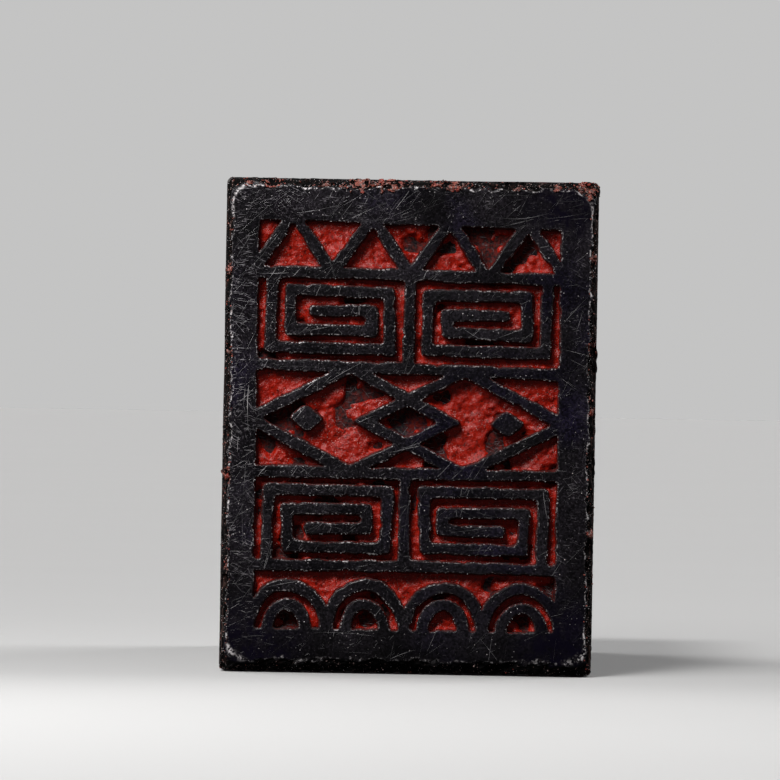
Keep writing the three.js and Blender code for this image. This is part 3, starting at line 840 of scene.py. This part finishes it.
# the walls of the carving
maker = meshMaker()
topRings, topNumbers, groundRings, groundNumbers = [], [], [], []
for line in cutLines:
    rings = [cut.atLevel(line, row[0]) for row in wallProfile]
    rows = []
    for ring, (level, depth, bright, zone) in zip(rings, wallProfile):
        if zone == "ground":
            deep = groundDepth(ring)
        else:
            share, length, seed = unevenness[zone]
            deep = depth * (1 + share * smoothNoise(ring, length, seed))
        inCut = min(1.0, max(0.0, (level + 0.02) / 0.03))  # the line itself is in between
        rows.append(maker.add(toScene(ring, deep), carved=inCut, edge=bright))
    topRings.append(rings[0])
    topNumbers.append(rows[0])
    groundRings.append(rings[-1])
    groundNumbers.append(rows[-1])
    for upper, lower in zip(rows, rows[1:]):
        maker.strip(upper, lower)
maker.fill(groundRings, groundNumbers, groundDepth, spacing=0.3, seed=3,
           keep=lambda p: cut.at(p) > groundEdge + 0.1, carved=1.0)

# the rim and the body, row by row from the face to the far end
sideRows = [1.1, 1.3, 1.5, 1.75, 2.05, 2.4, 2.8, 3.3, 3.9]
halfRows = [4.6, 5.4, 6.3, 7.3]  # with half the points, and the rows after them with a quarter
bodyRows = []
for share in rimShares:
    ring = rimLine(share)
    worn, lip = wornShare(ring, share)
    # broken from 0.9 of the lip outwards, and smoothest, with the brightest painted highlight, at 0.4 of it
    rough = np.clip((1.0 - 0.9 * lip - worn + 0.10 * roughNoise(ring, 1.3, 51, 3)) / 0.10, 0, 1)
    bright = np.exp(-((worn - 1 + 0.4 * lip) / 0.075) ** 2)
    bodyRows.append(maker.add(toScene(ring, rimDepthAt(worn, lip)), rim=rough, edge=bright * (1 - rough)))
ring = section(dict(sides=0.0, top=0.0, bottom=0.0), block["corner"])
for depth in sideRows:
    fade = max(0.0, 1 - (depth - block["rimDepth"]) / 1.6)
    bodyRows.append(maker.add(toScene(ring, depth), rim=fade, side=1.0))
for depth in halfRows:
    bodyRows.append(maker.add(toScene(ring[::2], depth), side=1.0))
lastStraight = block["length"] - block["shoulder"]
for depth in np.linspace(8.1, lastStraight, 84):
    bodyRows.append(maker.add(toScene(ring[::4], depth), side=1.0))
for turn in np.arange(1, 13) / 12 * math.pi / 2:
    drawn = block["shoulder"] * (1 - math.cos(turn))
    depth = lastStraight + block["shoulder"] * math.sin(turn)
    farRing = section(dict(sides=drawn, top=drawn, bottom=drawn), block["corner"] + drawn / 2)[::4]
    bodyRows.append(maker.add(toScene(farRing, depth), side=1.0))
for front, back in zip(bodyRows, bodyRows[1:]):
    maker.strip(front, back)

# the far end, then the top of the border and of the strokes
farLow, farHigh = farRing.min(0) + 0.5, farRing.max(0) - 0.5
maker.fill([farRing], [bodyRows[-1]], lambda p: block["length"], spacing=0.8, seed=7,
           keep=lambda p: ((p > farLow) & (p < farHigh)).all(axis=1), turned=True, side=1.0)
maker.fill([rimLine(rimShares[0]), *topRings], [bodyRows[0], *topNumbers], lambda p: 0.0,
           spacing=0.36, seed=5, keep=lambda p: (cut.at(p) < strokeEdge - 0.12) & insideFace(p, 0.62))
points, triangles, marks = maker.arrays()
print("stone laid out:", len(points), "points,", len(triangles), "faces")

# chips struck out of the rim, as in the CAD block: the side, how far along it, the radius and the bite
chips = [
    ("top", 0.985, 1.9, 0.9), ("top", -0.3, 1.0, 0.62), ("top", -0.12, 1.15, 0.7), ("top", 0.22, 1.0, 0.6),
    ("top", 0.55, 0.9, 0.5), ("top", -0.78, 0.95, 0.55), ("left", 0.3, 0.9, 0.42),
    ("left", -0.22, 1.05, 0.5), ("left", -0.66, 1.0, 0.45), ("right", 0.34, 1.0, 0.5),
    ("right", -0.5, 0.95, 0.45), ("bottom", -0.52, 0.95, 0.45), ("bottom", 0.5, 1.0, 0.5),
]
# many small ones: how many fall on each side, and at each share of the rim
smallChips = dict(
    count=210, small=0.22, large=0.75, bite=0.32, seed=23,
    sides=dict(top=0.36, bottom=0.2, left=0.22, right=0.22),
    shares={1.0: 0.24, 0.85: 0.2, 0.4: 0.2, 0.1: 0.18, 0.0: 0.18},
)
edgeChips = dict(  # on the long edges, and a quarter of them round the far end
    count=46, small=0.5, large=1.5, bite=0.2, inset=0.18, farInset=0.6, left=0.5, low=0.4, far=0.25, seed=29,
)
roughSeeds = dict(chips=60, small=200, edges=500)


def between(low, high, draw):
    return low + (high - low) * draw


def chipBall(side, along, radius, bite, share=0.4):
    out = {"top": (0, 1), "bottom": (0, -1), "left": (-1, 0), "right": (1, 0)}[side]
    inset = {"top": block["rimTop"], "bottom": block["rimBottom"]}.get(side, block["rimSides"])
    halfWidth, halfHeight = block["width"] / 2, block["height"] / 2
    u = out[0] * (halfWidth - share * inset) if out[0] else along * (halfWidth - block["rimSides"])
    v = out[1] * (halfHeight - share * inset) if out[1] else along * (halfHeight - block["rimSides"])
    facing = np.array([out[0], -1, out[1]]) / math.sqrt(2)
    centre = np.array([u, printingPlane + rimDepthAt(share), v + halfHeight])
    return (centre + facing * (radius - bite)) / 1000, radius * 0.93 / 1000


def bitten(points, centre, radius, seed, uneven=0.13, unevenLength=0.5):  # moves points out of a rough ball
    away = points - centre
    near = np.flatnonzero(np.linalg.norm(away, axis=1) < radius * 1.25)
    if not len(near):
        return
    distance = np.linalg.norm(away[near], axis=1)
    reach = radius * (1 + uneven * roughNoise(points[near] * 1000, unevenLength, seed, 2))
    hit = distance < reach
    points[near[hit]] = centre + away[near[hit]] / distance[hit, None] * reach[hit, None]


for number, chip in enumerate(chips):
    bitten(points, *chipBall(*chip), roughSeeds["chips"] + number)
p = smallChips
chance = np.random.default_rng(p["seed"])
for number in range(p["count"]):
    side = chance.choice(list(p["sides"]), p=list(p["sides"].values()))
    radius = between(p["small"], p["large"], chance.random() ** 2.5)
    share = chance.choice(list(p["shares"]), p=list(p["shares"].values()))
    bite = radius * p["bite"] * chance.uniform(0.5, 1.3)
    ball = chipBall(side, chance.uniform(-1, 1), radius, bite, share)
    bitten(points, *ball, roughSeeds["small"] + number)

p = edgeChips
chance = np.random.default_rng(p["seed"])
for number in range(p["count"]):
    left, low = chance.random() < p["left"], chance.random() < p["low"]
    radius = between(p["small"], p["large"], chance.random() ** 2)
    far = chance.random() >= 1 - p["far"]
    depth = block["length"] - 0.9 if far else chance.uniform(1.5, block["length"] - 2.0)
    corner = np.array([-1.0 if left else 1.0, 0.0, -1.0 if low else 1.0])
    out = corner / math.sqrt(2) + np.array([0, 0.7 if far else 0.0, 0])
    out /= np.linalg.norm(out)
    middle = np.array([0.0, printingPlane + depth, block["height"] / 2])
    middle += corner * np.array([block["width"], 0, block["height"]]) / 2 - corner * p["inset"]
    middle -= out * p["farInset"] if far else 0
    bite = radius * p["bite"] * chance.uniform(0.5, 1.3)
    centre = (middle + out * (radius - bite)) / 1000
    bitten(points, centre, radius / 1000, roughSeeds["edges"] + number)

# wear, in millimetres: faintly wavy polished faces and a crumbled rim
wave = dict(broad=0.018, broadLength=6.0, fine=0.008, fineLength=1.6,
            sides=0.035, sidesLength=11.0, seed=37)
crumble = dict(coarse=0.13, coarseLength=0.75, fine=0.07, fineLength=0.33, seed=31)


def waveOn(points, side=0.0):
    broad = wave["broad"] * (1 + smoothNoise(points, wave["broadLength"], wave["seed"]))
    fine = wave["fine"] * (1 + smoothNoise(points, wave["fineLength"], wave["seed"] + 1))
    return broad + fine * (1 - side)


def sideWaveOn(points):
    return wave["sides"] * (1 + roughNoise(points, wave["sidesLength"], wave["seed"] + 2, 2))


def crumbledOn(points):
    p = crumble
    coarse = p["coarse"] * np.abs(roughNoise(points, p["coarseLength"], p["seed"], 3))
    return coarse + p["fine"] * (1 + roughNoise(points, p["fineLength"], p["seed"] + 4, 2))


inMillimetres = points * 1000
lost = marks["rim"] * crumbledOn(inMillimetres)
lost += waveOn(inMillimetres, marks["side"]) * (1 - marks["carved"])
lost += marks["side"] * sideWaveOn(inMillimetres)
points -= normalsOf(points, triangles) * (lost / 1000)[:, None]
stonePiece = pieceFrom("carved_stone_block", points, triangles, stone, marks, boxMap=True)
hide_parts("seal_block")
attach(stonePiece, "root")

# hair scratches across the polished face, and `elsewhere` on the sides, the top and the far end
hair = dict(
    count=1300, step=0.16, short=0.35, long=5.8, thin=0.004, thick=0.021, bend=0.05,
    headings={0.3: 0.22, 0.7: 0.28, 0.12: 0.15, -0.35: 0.07, 1.0: 0.18, 1.45: 0.10},  # each with its share
    keptLow=0.3, keptHigh=0.7, left=-12, moreLeft=0.3, right=10, fewerRight=0.15,  # how close they lie
    elsewhere=420, sideStep=0.5, sideMargin=2.6, sideBend=0.03, seed=91,
)


def hairPath(angle, bend, count, step):  # from its own middle
    headings = angle + bend * (np.arange(count) - count / 2) * step
    path = np.cumsum(np.column_stack([np.cos(headings), np.sin(headings)]) * step, axis=0)
    return path - path[count // 2]


def hairWidths(count, draw):  # thinner towards both ends
    taper = np.sin(np.linspace(0.12, math.pi - 0.12, count)) ** 0.6
    return between(hair["thin"], hair["thick"], draw) * taper


def hairEdges(first, on):
    return [(first + i, first + i + 1) for i in range(len(on) - 1) if on[i] and on[i + 1]]


def sideScratches(chance, first):
    width, height, length = block["width"], block["height"], block["length"]
    faces = [  # corner, the two directions across the face, and the way it looks
        ((-width / 2, 0, 0), (0, length, 0), (0, 0, height), (-1, 0, 0)),
        ((width / 2, 0, 0), (0, length, 0), (0, 0, height), (1, 0, 0)),
        ((-width / 2, 0, height), (width, 0, 0), (0, length, 0), (0, 0, 1)),
        ((-width / 2, length, 0), (width, 0, 0), (0, 0, height), (0, 1, 0)),
    ]
    places, edges, widths = [], [], []
    for number in range(hair["elsewhere"]):
        corner, right, up, facing = (np.array(v, float) for v in faces[chance.integers(0, 4)])
        size = np.array([np.abs(right).sum(), np.abs(up).sum()])
        reach = hair["short"] + 1.6 * hair["long"] * chance.random() ** 3
        count = max(4, int(reach / hair["sideStep"]))
        angle, bend = chance.uniform(0, math.pi), chance.normal(0, hair["sideBend"])
        path = hairPath(angle, bend, count, hair["sideStep"]) + chance.uniform(2.5, size - 2.5)
        on = ((path > hair["sideMargin"]) & (path < size - hair["sideMargin"])).all(axis=1)
        flat = corner + path[:, :1] / size[0] * right + path[:, 1:] / size[1] * up
        flat[:, 1] += printingPlane
        flat -= facing * (waveOn(flat, 1.0) + sideWaveOn(flat))[:, None]
        edges += hairEdges(first, on)
        first += count
        places.append(flat / 1000)
        widths.append(hairWidths(count, chance.random() ** 2))
    return places, edges, widths


def scratchLines():
    chance = np.random.default_rng(hair["seed"])
    paths, edges, widths, first = [], [], [], 0
    while len(paths) < hair["count"]:
        middle = np.array([chance.uniform(-16, 16), chance.uniform(1.5, 44)])
        share = between(hair["keptLow"], hair["keptHigh"], middle[1] / block["height"])
        share += hair["moreLeft"] if middle[0] < hair["left"] else 0
        share -= hair["fewerRight"] if middle[0] > hair["right"] else 0
        if chance.random() > share or cut.at(middle[None])[0] > -0.1:
            continue
        length = between(hair["short"], hair["long"], chance.random() ** 5)
        count = max(4, int(length / hair["step"]))
        angle = chance.choice(list(hair["headings"]), p=list(hair["headings"].values()))
        angle += chance.normal(0, 0.2)
        if middle[0] < hair["left"] and length < 1.5:  # short level ones, close together down the left
            angle = chance.normal(0.05, 0.35)
        path = middle + hairPath(angle, chance.normal(0, hair["bend"]), count, hair["step"])
        widths.append(hairWidths(count, chance.random() ** 2.5))
        edges += hairEdges(first, (cut.at(path) < -0.05) & insideFace(path, 0.12))
        first += count
        paths.append(path)
    places = toScene(np.vstack(paths), 0.0)
    places[:, 1] += waveOn(places * 1000) / 1000
    sidePlaces, sideEdges, sideWidths = sideScratches(chance, first)
    places = np.vstack([places, *sidePlaces])
    used, edges = countedAnew(np.array(edges + sideEdges), len(places))
    base = bpy.data.meshes.new("scratch_lines")
    base.from_pydata(places[used].tolist(), edges.tolist(), [])
    setMark(base, "width", np.concatenate(widths + sideWidths)[used] / 1000)
    return base


def scratchTree():
    tree = nodeTree("scratches", sides=3, material=scratchDust)
    line = tree.node("GeometryNodeMeshToCurve", Mesh=tree.given["Geometry"]).outputs[0]
    width = tree.node("GeometryNodeInputNamedAttribute", {"data_type": "FLOAT"}, Name="width").outputs[0]
    sized = tree.node("GeometryNodeSetCurveRadius", Curve=line, Radius=width).outputs[0]
    profile = tree.node("GeometryNodeCurvePrimitiveCircle", Resolution=tree.given["sides"], Radius=1.0)
    swept = tree.node("GeometryNodeCurveToMesh", Curve=sized, Profile_Curve=profile.outputs[0],
                      Fill_Caps=True)
    if "Scale" in swept.inputs:  # where Blender scales the profile by this and not by the radius
        tree.tree.links.new(width, swept.inputs["Scale"])
    return tree.finish(swept.outputs[0])


scratches = grownFrom("hair_scratches", scratchLines(), scratchTree(), sides=3)
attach(scratches, "root")


# Grains: lumps of a few faces each, strewn over loose points
def grainTree():
    tree = nodeTree("grains", small=0.00002, large=0.00006, seed=1, material=dust)
    ball = tree.node("GeometryNodeMeshIcoSphere", Radius=1.0, Subdivisions=1).outputs[0]
    lump = tree.node("ShaderNodeTexNoise", Scale=1.1).outputs["Color"]
    uneven = tree.node("ShaderNodeVectorMath", {"operation": "SUBTRACT"}, _0=lump, _1=(0.5, 0.5, 0.5))
    uneven = tree.node("ShaderNodeVectorMath", {"operation": "SCALE"}, _0=uneven.outputs[0], Scale=1.5)
    grain = tree.node("GeometryNodeSetPosition", Geometry=ball, Offset=uneven.outputs[0]).outputs[0]
    size = tree.node("FunctionNodeRandomValue", {"data_type": "FLOAT"}, _2=tree.given["small"],
                     _3=tree.given["large"], Seed=tree.given["seed"]).outputs[1]
    turn = tree.node("FunctionNodeRandomValue", {"data_type": "FLOAT_VECTOR"}, _0=(0, 0, 0),
                     _1=(6.28, 6.28, 6.28), Seed=tree.given["seed"]).outputs[0]
    strewn = tree.node("GeometryNodeInstanceOnPoints", Points=tree.given["Geometry"], Instance=grain,
                       Rotation=turn, Scale=size)
    return tree.finish(strewn.outputs[0])


grains = grainTree()


def looseGrains(name, spots, material, sizes, seed):
    base = bpy.data.meshes.new(name + "_spots")
    base.from_pydata(spots.tolist(), [], [])
    piece = grownFrom(name, base, grains, smooth=False, small=sizes["small"] / 1000,
                      large=sizes["large"] / 1000, seed=seed, material=material)
    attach(piece, "root")


# pale grit broken out along the edges of the strokes
edgeGrit = dict(share=0.16, spacing=0.09, inwards=0.03, outwards=0.06, small=0.012, large=0.045, seed=131)
chance = np.random.default_rng(edgeGrit["seed"])
gritSpots = []
for line in cutLines:
    finer = resampled(line, edgeGrit["spacing"])
    share = edgeGrit["share"] * (0.6 + 0.6 * smoothNoise(finer, 1.2, edgeGrit["seed"] + 2))
    chosen = finer[chance.random(len(finer)) < share]
    level = chance.uniform(-edgeGrit["outwards"], edgeGrit["inwards"], len(chosen))
    gritSpots.append(toScene(chosen, 0.02 + np.maximum(level, 0) * 3))
looseGrains("grit_on_the_edges", np.vstack(gritSpots), dust, edgeGrit, seed=3)

# films of paste, one in each pocket
film = dict(
    thickness=0.33, swell=0.5, swellLength=3.1, clumps=0.16, clumpLength=1.3, lumps=0.06, lumpLength=0.34,
    bare=0.5, bareFrom=0.42, bareLength=2.6, bareRagged=0.35, bareRaggedLength=0.9,  # where it has worn thin
    meniscus=0.26, meniscusReach=0.13,  # how far it climbs the walls
    spotDepth=0.62, spotRagged=0.3, spotRaggedLength=0.7,
    bareSpots=[(-0.1, 23.1, 1.5), (1.8, 20.2, 0.8), (6.2, 30.2, 1.2), (-10.5, 12.4, 1.0), (3.0, 7.4, 0.9)],
    wallLevel=0.045, innerLevel=0.115, openLevel=0.17,  # distances from the knife's line
    edgeSpacing=0.16, spacing=0.15, underside=1.42, seed=71,
)
pocketLines = [line for line in cutLines if areaOf(line) < 0]
islandLines = [line for line in cutLines if areaOf(line) > 0]
filmNodes = [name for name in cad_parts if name.startswith("paste_") and "crumb" not in name]


def pasteDepth(points, level):
    p, seed = film, film["seed"]
    thick = p["thickness"] * (1 + p["swell"] * smoothNoise(points, p["swellLength"], seed))
    thick += p["clumps"] * roughNoise(points, p["clumpLength"], seed + 2, 3)
    thick += p["lumps"] * roughNoise(points, p["lumpLength"], seed + 5, 2)
    patch = smoothNoise(points, p["bareLength"], seed + 9)
    patch += p["bareRagged"] * smoothNoise(points, p["bareRaggedLength"], seed + 11)
    thick -= p["bare"] * np.clip((patch - p["bareFrom"]) * 3, 0, 1.6)
    for u, v, radius in p["bareSpots"]:
        away = np.hypot(points[:, 0] - u, points[:, 1] - v) / radius
        away += p["spotRagged"] * roughNoise(points, p["spotRaggedLength"], seed + 17, 2)
        thick -= p["spotDepth"] * np.clip((1.15 - away) * 3, 0, 1)
    climbing = p["meniscus"] * np.exp(-np.maximum(level - 0.12, 0) / p["meniscusReach"])
    thick += climbing * (0.5 + 0.5 * smoothNoise(points, 1.0, seed + 13))
    return block["carving"] - thick


def boxOf(line):
    return np.concatenate([line.min(0), line.max(0)])


def nearestLine(node):
    low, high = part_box(node)
    box = np.array([low.x, low.z, high.x, high.z]) * 1000
    return min(pocketLines, key=lambda line: np.abs(boxOf(line) - box).sum())


for node in filmNodes:
    outline = nearestLine(node)
    low, high = outline.min(0), outline.max(0)
    lines = [outline]
    if "lozenge" in node:  # with a boss standing in it
        lines += [line for line in islandLines if (low < line.min(0)).all() and (line.max(0) < high).all()]
    edgeRings = [cut.atLevel(resampled(line, film["edgeSpacing"]), film["wallLevel"]) for line in lines]
    innerRings = [cut.atLevel(ring, film["innerLevel"]) for ring in edgeRings]
    shell = meshMaker()
    edges = [shell.add(toScene(ring, pasteDepth(ring, 0.1) + 0.05)) for ring in edgeRings]
    inners = [shell.add(toScene(ring, pasteDepth(ring, film["innerLevel"]))) for ring in innerRings]
    for a, b in zip(edges, inners):
        shell.strip(a, b)
    shell.fill(innerRings, inners, lambda p: pasteDepth(p, cut.at(p)), spacing=film["spacing"], seed=9,
               keep=lambda p: ((p > low) & (p < high)).all(axis=1) & (cut.at(p) > film["openLevel"]))
    # underneath, hidden in the stone
    unders = [shell.add(toScene(ring, film["underside"])) for ring in edgeRings]
    for a, b in zip(unders, edges):
        shell.strip(a, b)
    shell.fill(edgeRings, unders, lambda p: film["underside"], turned=True)
    body, faces, _ = shell.arrays()
    used, faces = countedAnew(faces, len(body))
    piece = pieceFrom("red_" + node, body[used], faces, paste)
    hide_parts(node)
    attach(piece, "root")
print("paste laid")

# crusts of dry paste on the rim, moulded on the stone under them: lengths in millimetres
crusts = dict(
    thickness=0.16, under=0.12, rough=0.40, lumps=1.5, lumpLength=0.30,
    crumbRadius=0.42, rimRadius=0.8,  # shares of a CAD crumb's diagonal and of the radii given below
    reach=0.70, ragged=0.85, raggedLength=0.42, slope=0.5, bulge=0.6, sunk=0.02, seed=301,
)
worn = stonePiece.data
wornPoints = np.empty(len(worn.vertices) * 3)
worn.vertices.foreach_get("co", wornPoints)
wornPoints = wornPoints.reshape(-1, 3)
wornFaces = np.array([p.vertices[:] for p in worn.polygons])
wornNormals = normalsOf(wornPoints, wornFaces)
middles = wornPoints[wornFaces].mean(axis=1)


def crustPatch(name, places, seed):
    chosen = np.zeros(len(wornFaces), bool)
    lift = np.zeros(len(wornPoints))
    reachOfFaces, reachOfPoints = (
        crusts["reach"] + crusts["ragged"] * roughNoise(p * 1000, crusts["raggedLength"], seed, 3)
        for p in (middles, wornPoints)
    )
    for centre, radius, thickness in places:
        chosen |= np.linalg.norm(middles - centre, axis=1) < radius * reachOfFaces
        gap = np.linalg.norm(wornPoints - centre, axis=1)
        inwards = np.clip((radius * reachOfPoints - gap) / (radius * crusts["slope"]), 0, 1)
        lift = np.maximum(lift, thickness * inwards ** crusts["bulge"])
    used, faces = countedAnew(wornFaces[chosen], len(wornPoints))
    mesh = bpy.data.meshes.new(name)
    mesh.from_pydata(wornPoints[used].tolist(), [], faces.tolist())
    setMark(mesh, "lift", lift[used])
    work = bmesh.new()
    work.from_mesh(mesh)
    work.normal_update()
    bmesh.ops.subdivide_edges(work, edges=work.edges, cuts=2, use_grid_fill=True)
    bmesh.ops.triangulate(work, faces=work.faces)
    key = work.verts.layers.float["lift"]
    work.normal_update()
    spots = np.array([v.co[:] for v in work.verts]) * 1000
    rough = crusts["rough"] + crusts["lumps"] * roughNoise(spots, crusts["lumpLength"], seed + 1, 3)
    base = {v: (v.co.copy(), v.normal.copy()) for v in work.verts}
    # a copy sunk into the stone closes the crust from below
    copy = bmesh.ops.duplicate(work, geom=list(work.verts) + list(work.faces))
    twin = copy["vert_map"]
    border = [tuple(e.verts) for e in work.edges if len(e.link_faces) == 1 and e.verts[0] in base]
    for number, vert in enumerate(list(base)):
        place, normal = base[vert]
        vert.co = place + normal * (vert[key] * float(rough[number]) - crusts["sunk"] / 1000)
        twin[vert].co = place - normal * (crusts["under"] / 1000)
    bmesh.ops.reverse_faces(work, faces=[g for g in copy["geom"] if isinstance(g, bmesh.types.BMFace)])
    for a, b in border:
        work.faces.new((a, b, twin[b], twin[a]))
    bmesh.ops.triangulate(work, faces=work.faces)
    bmesh.ops.recalc_face_normals(work, faces=work.faces)
    for face in work.faces:
        face.smooth = True
    work.to_mesh(mesh)
    work.free()
    mesh.attributes.remove(mesh.attributes["lift"])
    mesh.materials.append(crust)
    piece = objectFrom(name, mesh)
    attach(piece, "root")
    print(f"{name}: {len(mesh.polygons)} faces")
    return piece


crumbPlaces = []
for number, node in enumerate(sorted(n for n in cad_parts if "crumb" in n)):
    low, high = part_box(node)
    radius = float((high - low).length) * crusts["crumbRadius"]
    crumbPlaces.append((np.array((low + high) / 2), radius, crusts["thickness"] / 1000))
    piece = crustPatch("dry_" + node, crumbPlaces[-1:], crusts["seed"] + number)
    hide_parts(node)

# smaller remains: u, v, radius and thickness
residue = [
    (-14.9, 44.3, 0.55, 0.10), (-7.9, 44.3, 0.5, 0.09), (-6.3, 43.9, 0.42, 0.08), (-3.6, 44.5, 0.6, 0.10),
    (2.0, 44.4, 0.45, 0.08), (4.9, 44.6, 0.4, 0.07), (9.3, 44.5, 0.5, 0.09), (13.1, 44.4, 0.45, 0.08),
    (-16.6, 36.5, 0.5, 0.07), (-16.7, 29.0, 0.45, 0.07), (-16.6, 9.5, 0.5, 0.07),
    (16.6, 38.2, 0.55, 0.08), (16.7, 24.0, 0.45, 0.07), (16.6, 13.0, 0.4, 0.07),
]
places = [
    (np.array([u, printingPlane + 0.35, v]) / 1000, crusts["rimRadius"] * radius / 1000, thickness / 1000)
    for u, v, radius, thickness in residue
]
crustPatch("dry_paste_on_the_rim", places, crusts["seed"] + 50)

# flakes broken off them, and pale grit caught all round the rim
flakes = dict(each=18, reach=1.5, farthest=2.2, small=0.022, large=0.10, lift=0.03, strewn=380, seed=141)
rimGrit = dict(count=900, small=0.010, large=0.042, seed=143)
rimZone = dict(wide=0.9, deep=1.5, clearOfFloor=0.15, footShift=0.2)


def nearRim(points):  # on the rim's slope and the edge beside it, clear of the face and of the floor
    u, depth, v = (points * 1000).T
    fromEnd = np.minimum(block["height"] - v, v + rimZone["footShift"])
    fromEdge = np.minimum(block["width"] / 2 - np.abs(u), fromEnd)
    inFront = depth < printingPlane + rimZone["deep"]
    return (fromEdge < rimZone["wide"]) & inFront & (v > rimZone["clearOfFloor"])


onRim = np.flatnonzero(nearRim(wornPoints))


def strewnNear(centre, radius, count, chance):
    away = np.linalg.norm(wornPoints[onRim] - centre, axis=1) / radius
    weight = np.exp(-(away / flakes["reach"]) ** 2 * 2) * (away < flakes["farthest"])
    return chance.choice(onRim, size=count, p=weight / weight.sum())


chance = np.random.default_rng(flakes["seed"])
picked = [strewnNear(centre, radius, flakes["each"], chance) for centre, radius, _ in places + crumbPlaces]
picked = np.concatenate(picked + [chance.choice(onRim, flakes["strewn"])])
lift = chance.uniform(0.0, flakes["lift"] / 1000, len(picked))[:, None]
spots = wornPoints[picked] + wornNormals[picked] * lift
looseGrains("dry_paste_flakes", spots, crust, flakes, seed=5)
chance = np.random.default_rng(rimGrit["seed"])
picked = chance.choice(onRim, rimGrit["count"])
looseGrains("grit_on_the_rim", wornPoints[picked], dust, rimGrit, seed=7)

studio = dict(
    floor=6.0, floorDark=(0.438, 0.434, 0.428), floorLight=(0.453, 0.449, 0.443),
    backdrop=(0.552, 0.551, 0.549, 1),
    roomLow=(0.078, 0.078, 0.081, 1), roomHigh=(0.14, 0.14, 0.15, 1), roomLevels=(0.1, 0.9),
    suns=[  # name, azimuth, elevation, strength and spread
        ("key_light", -24, 50, 2.1, 13), ("rear_light_right", 122, 36, 1.9, 45),
        ("rear_light_left", -122, 36, 1.5, 45),
    ],
    nearPlace=(-0.07, printingPlane / 1000 - 0.08, 0.11), nearSize=0.036, nearStrength=0.52,
)
floorMesh = bpy.data.meshes.new("floor")
corners = [(u * studio["floor"], v * studio["floor"], 0) for u, v in ((-1, -1), (1, -1), (1, 1), (-1, 1))]
floorMesh.from_pydata(corners, [], [(0, 1, 2, 3)])
floor = objectFrom("floor", floorMesh)
floorLook = finish("pale_floor", Roughness=0.7)
floorLook.colour = floorLook.blend(floorLook.noise(60.0), studio["floorDark"], studio["floorLight"])
floorMesh.materials.append(floorLook.done())
floor.visible_diffuse = floor.visible_glossy = False  # so that it doesn't light the dark stone from below

# the backdrop that the camera sees, and the dim room, lighter overhead, that lights the block
world = bpy.data.worlds.new("studio")
scene.world = world
world.use_nodes = True
nodes, links = world.node_tree.nodes, world.node_tree.links
nodes.clear()
seen, lit = nodes.new("ShaderNodeBackground"), nodes.new("ShaderNodeBackground")
seen.inputs["Color"].default_value = studio["backdrop"]
heading, upward = nodes.new("ShaderNodeTexCoord"), nodes.new("ShaderNodeSeparateXYZ")
links.new(heading.outputs["Generated"], upward.inputs[0])
shade = nodes.new("ShaderNodeMapRange")
links.new(upward.outputs["Z"], shade.inputs["Value"])
for end, level in zip(("From Min", "From Max"), studio["roomLevels"]):
    shade.inputs[end].default_value = level
room = nodes.new("ShaderNodeMix")
room.data_type = "RGBA"
links.new(shade.outputs[0], room.inputs["Factor"])
room.inputs[6].default_value, room.inputs[7].default_value = studio["roomLow"], studio["roomHigh"]
links.new(room.outputs[2], lit.inputs["Color"])
pick, path = nodes.new("ShaderNodeMixShader"), nodes.new("ShaderNodeLightPath")
for number, source in enumerate((path.outputs["Is Camera Ray"], lit.outputs[0], seen.outputs[0])):
    links.new(source, pick.inputs[number])
links.new(pick.outputs[0], nodes.new("ShaderNodeOutputWorld").inputs[0])

for name, azimuth, elevation, strength, spread in studio["suns"]:
    lamp = bpy.data.lights.new(name, "SUN")
    lamp.energy, lamp.angle = strength, math.radians(spread)
    a, e = math.radians(azimuth), math.radians(elevation)
    back = Vector((math.sin(a) * math.cos(e), -math.cos(a) * math.cos(e), math.sin(e)))
    sun = objectFrom(name, lamp)
    sun.location = back
    sun.rotation_mode = "QUATERNION"
    sun.rotation_quaternion = back.to_track_quat("Z", "Y")

nearLamp = bpy.data.lights.new("near_light", "POINT")
nearLamp.shadow_soft_size, nearLamp.energy = studio["nearSize"], studio["nearStrength"]
nearLight = objectFrom("near_light", nearLamp)
nearLight.location = studio["nearPlace"]
nearLight.visible_camera = False
print("floor and lights placed")

photo = dict(width=0.0707, distance=0.56, aimX=-0.0018, aimZ=0.0258, roll=1.0)
camera = bpy.data.cameras.new("camera")
camera.sensor_width = 36
camera.lens = camera.sensor_width * photo["distance"] / photo["width"]
camera.clip_start, camera.clip_end = 0.01, 20
viewer = objectFrom("camera", camera)
viewer.location = (photo["aimX"], printingPlane / 1000 - photo["distance"], photo["aimZ"])
turned = Matrix.Rotation(math.radians(90), 3, "X") @ Matrix.Rotation(math.radians(photo["roll"]), 3, "Z")
viewer.rotation_euler = turned.to_euler()
scene.camera = viewer
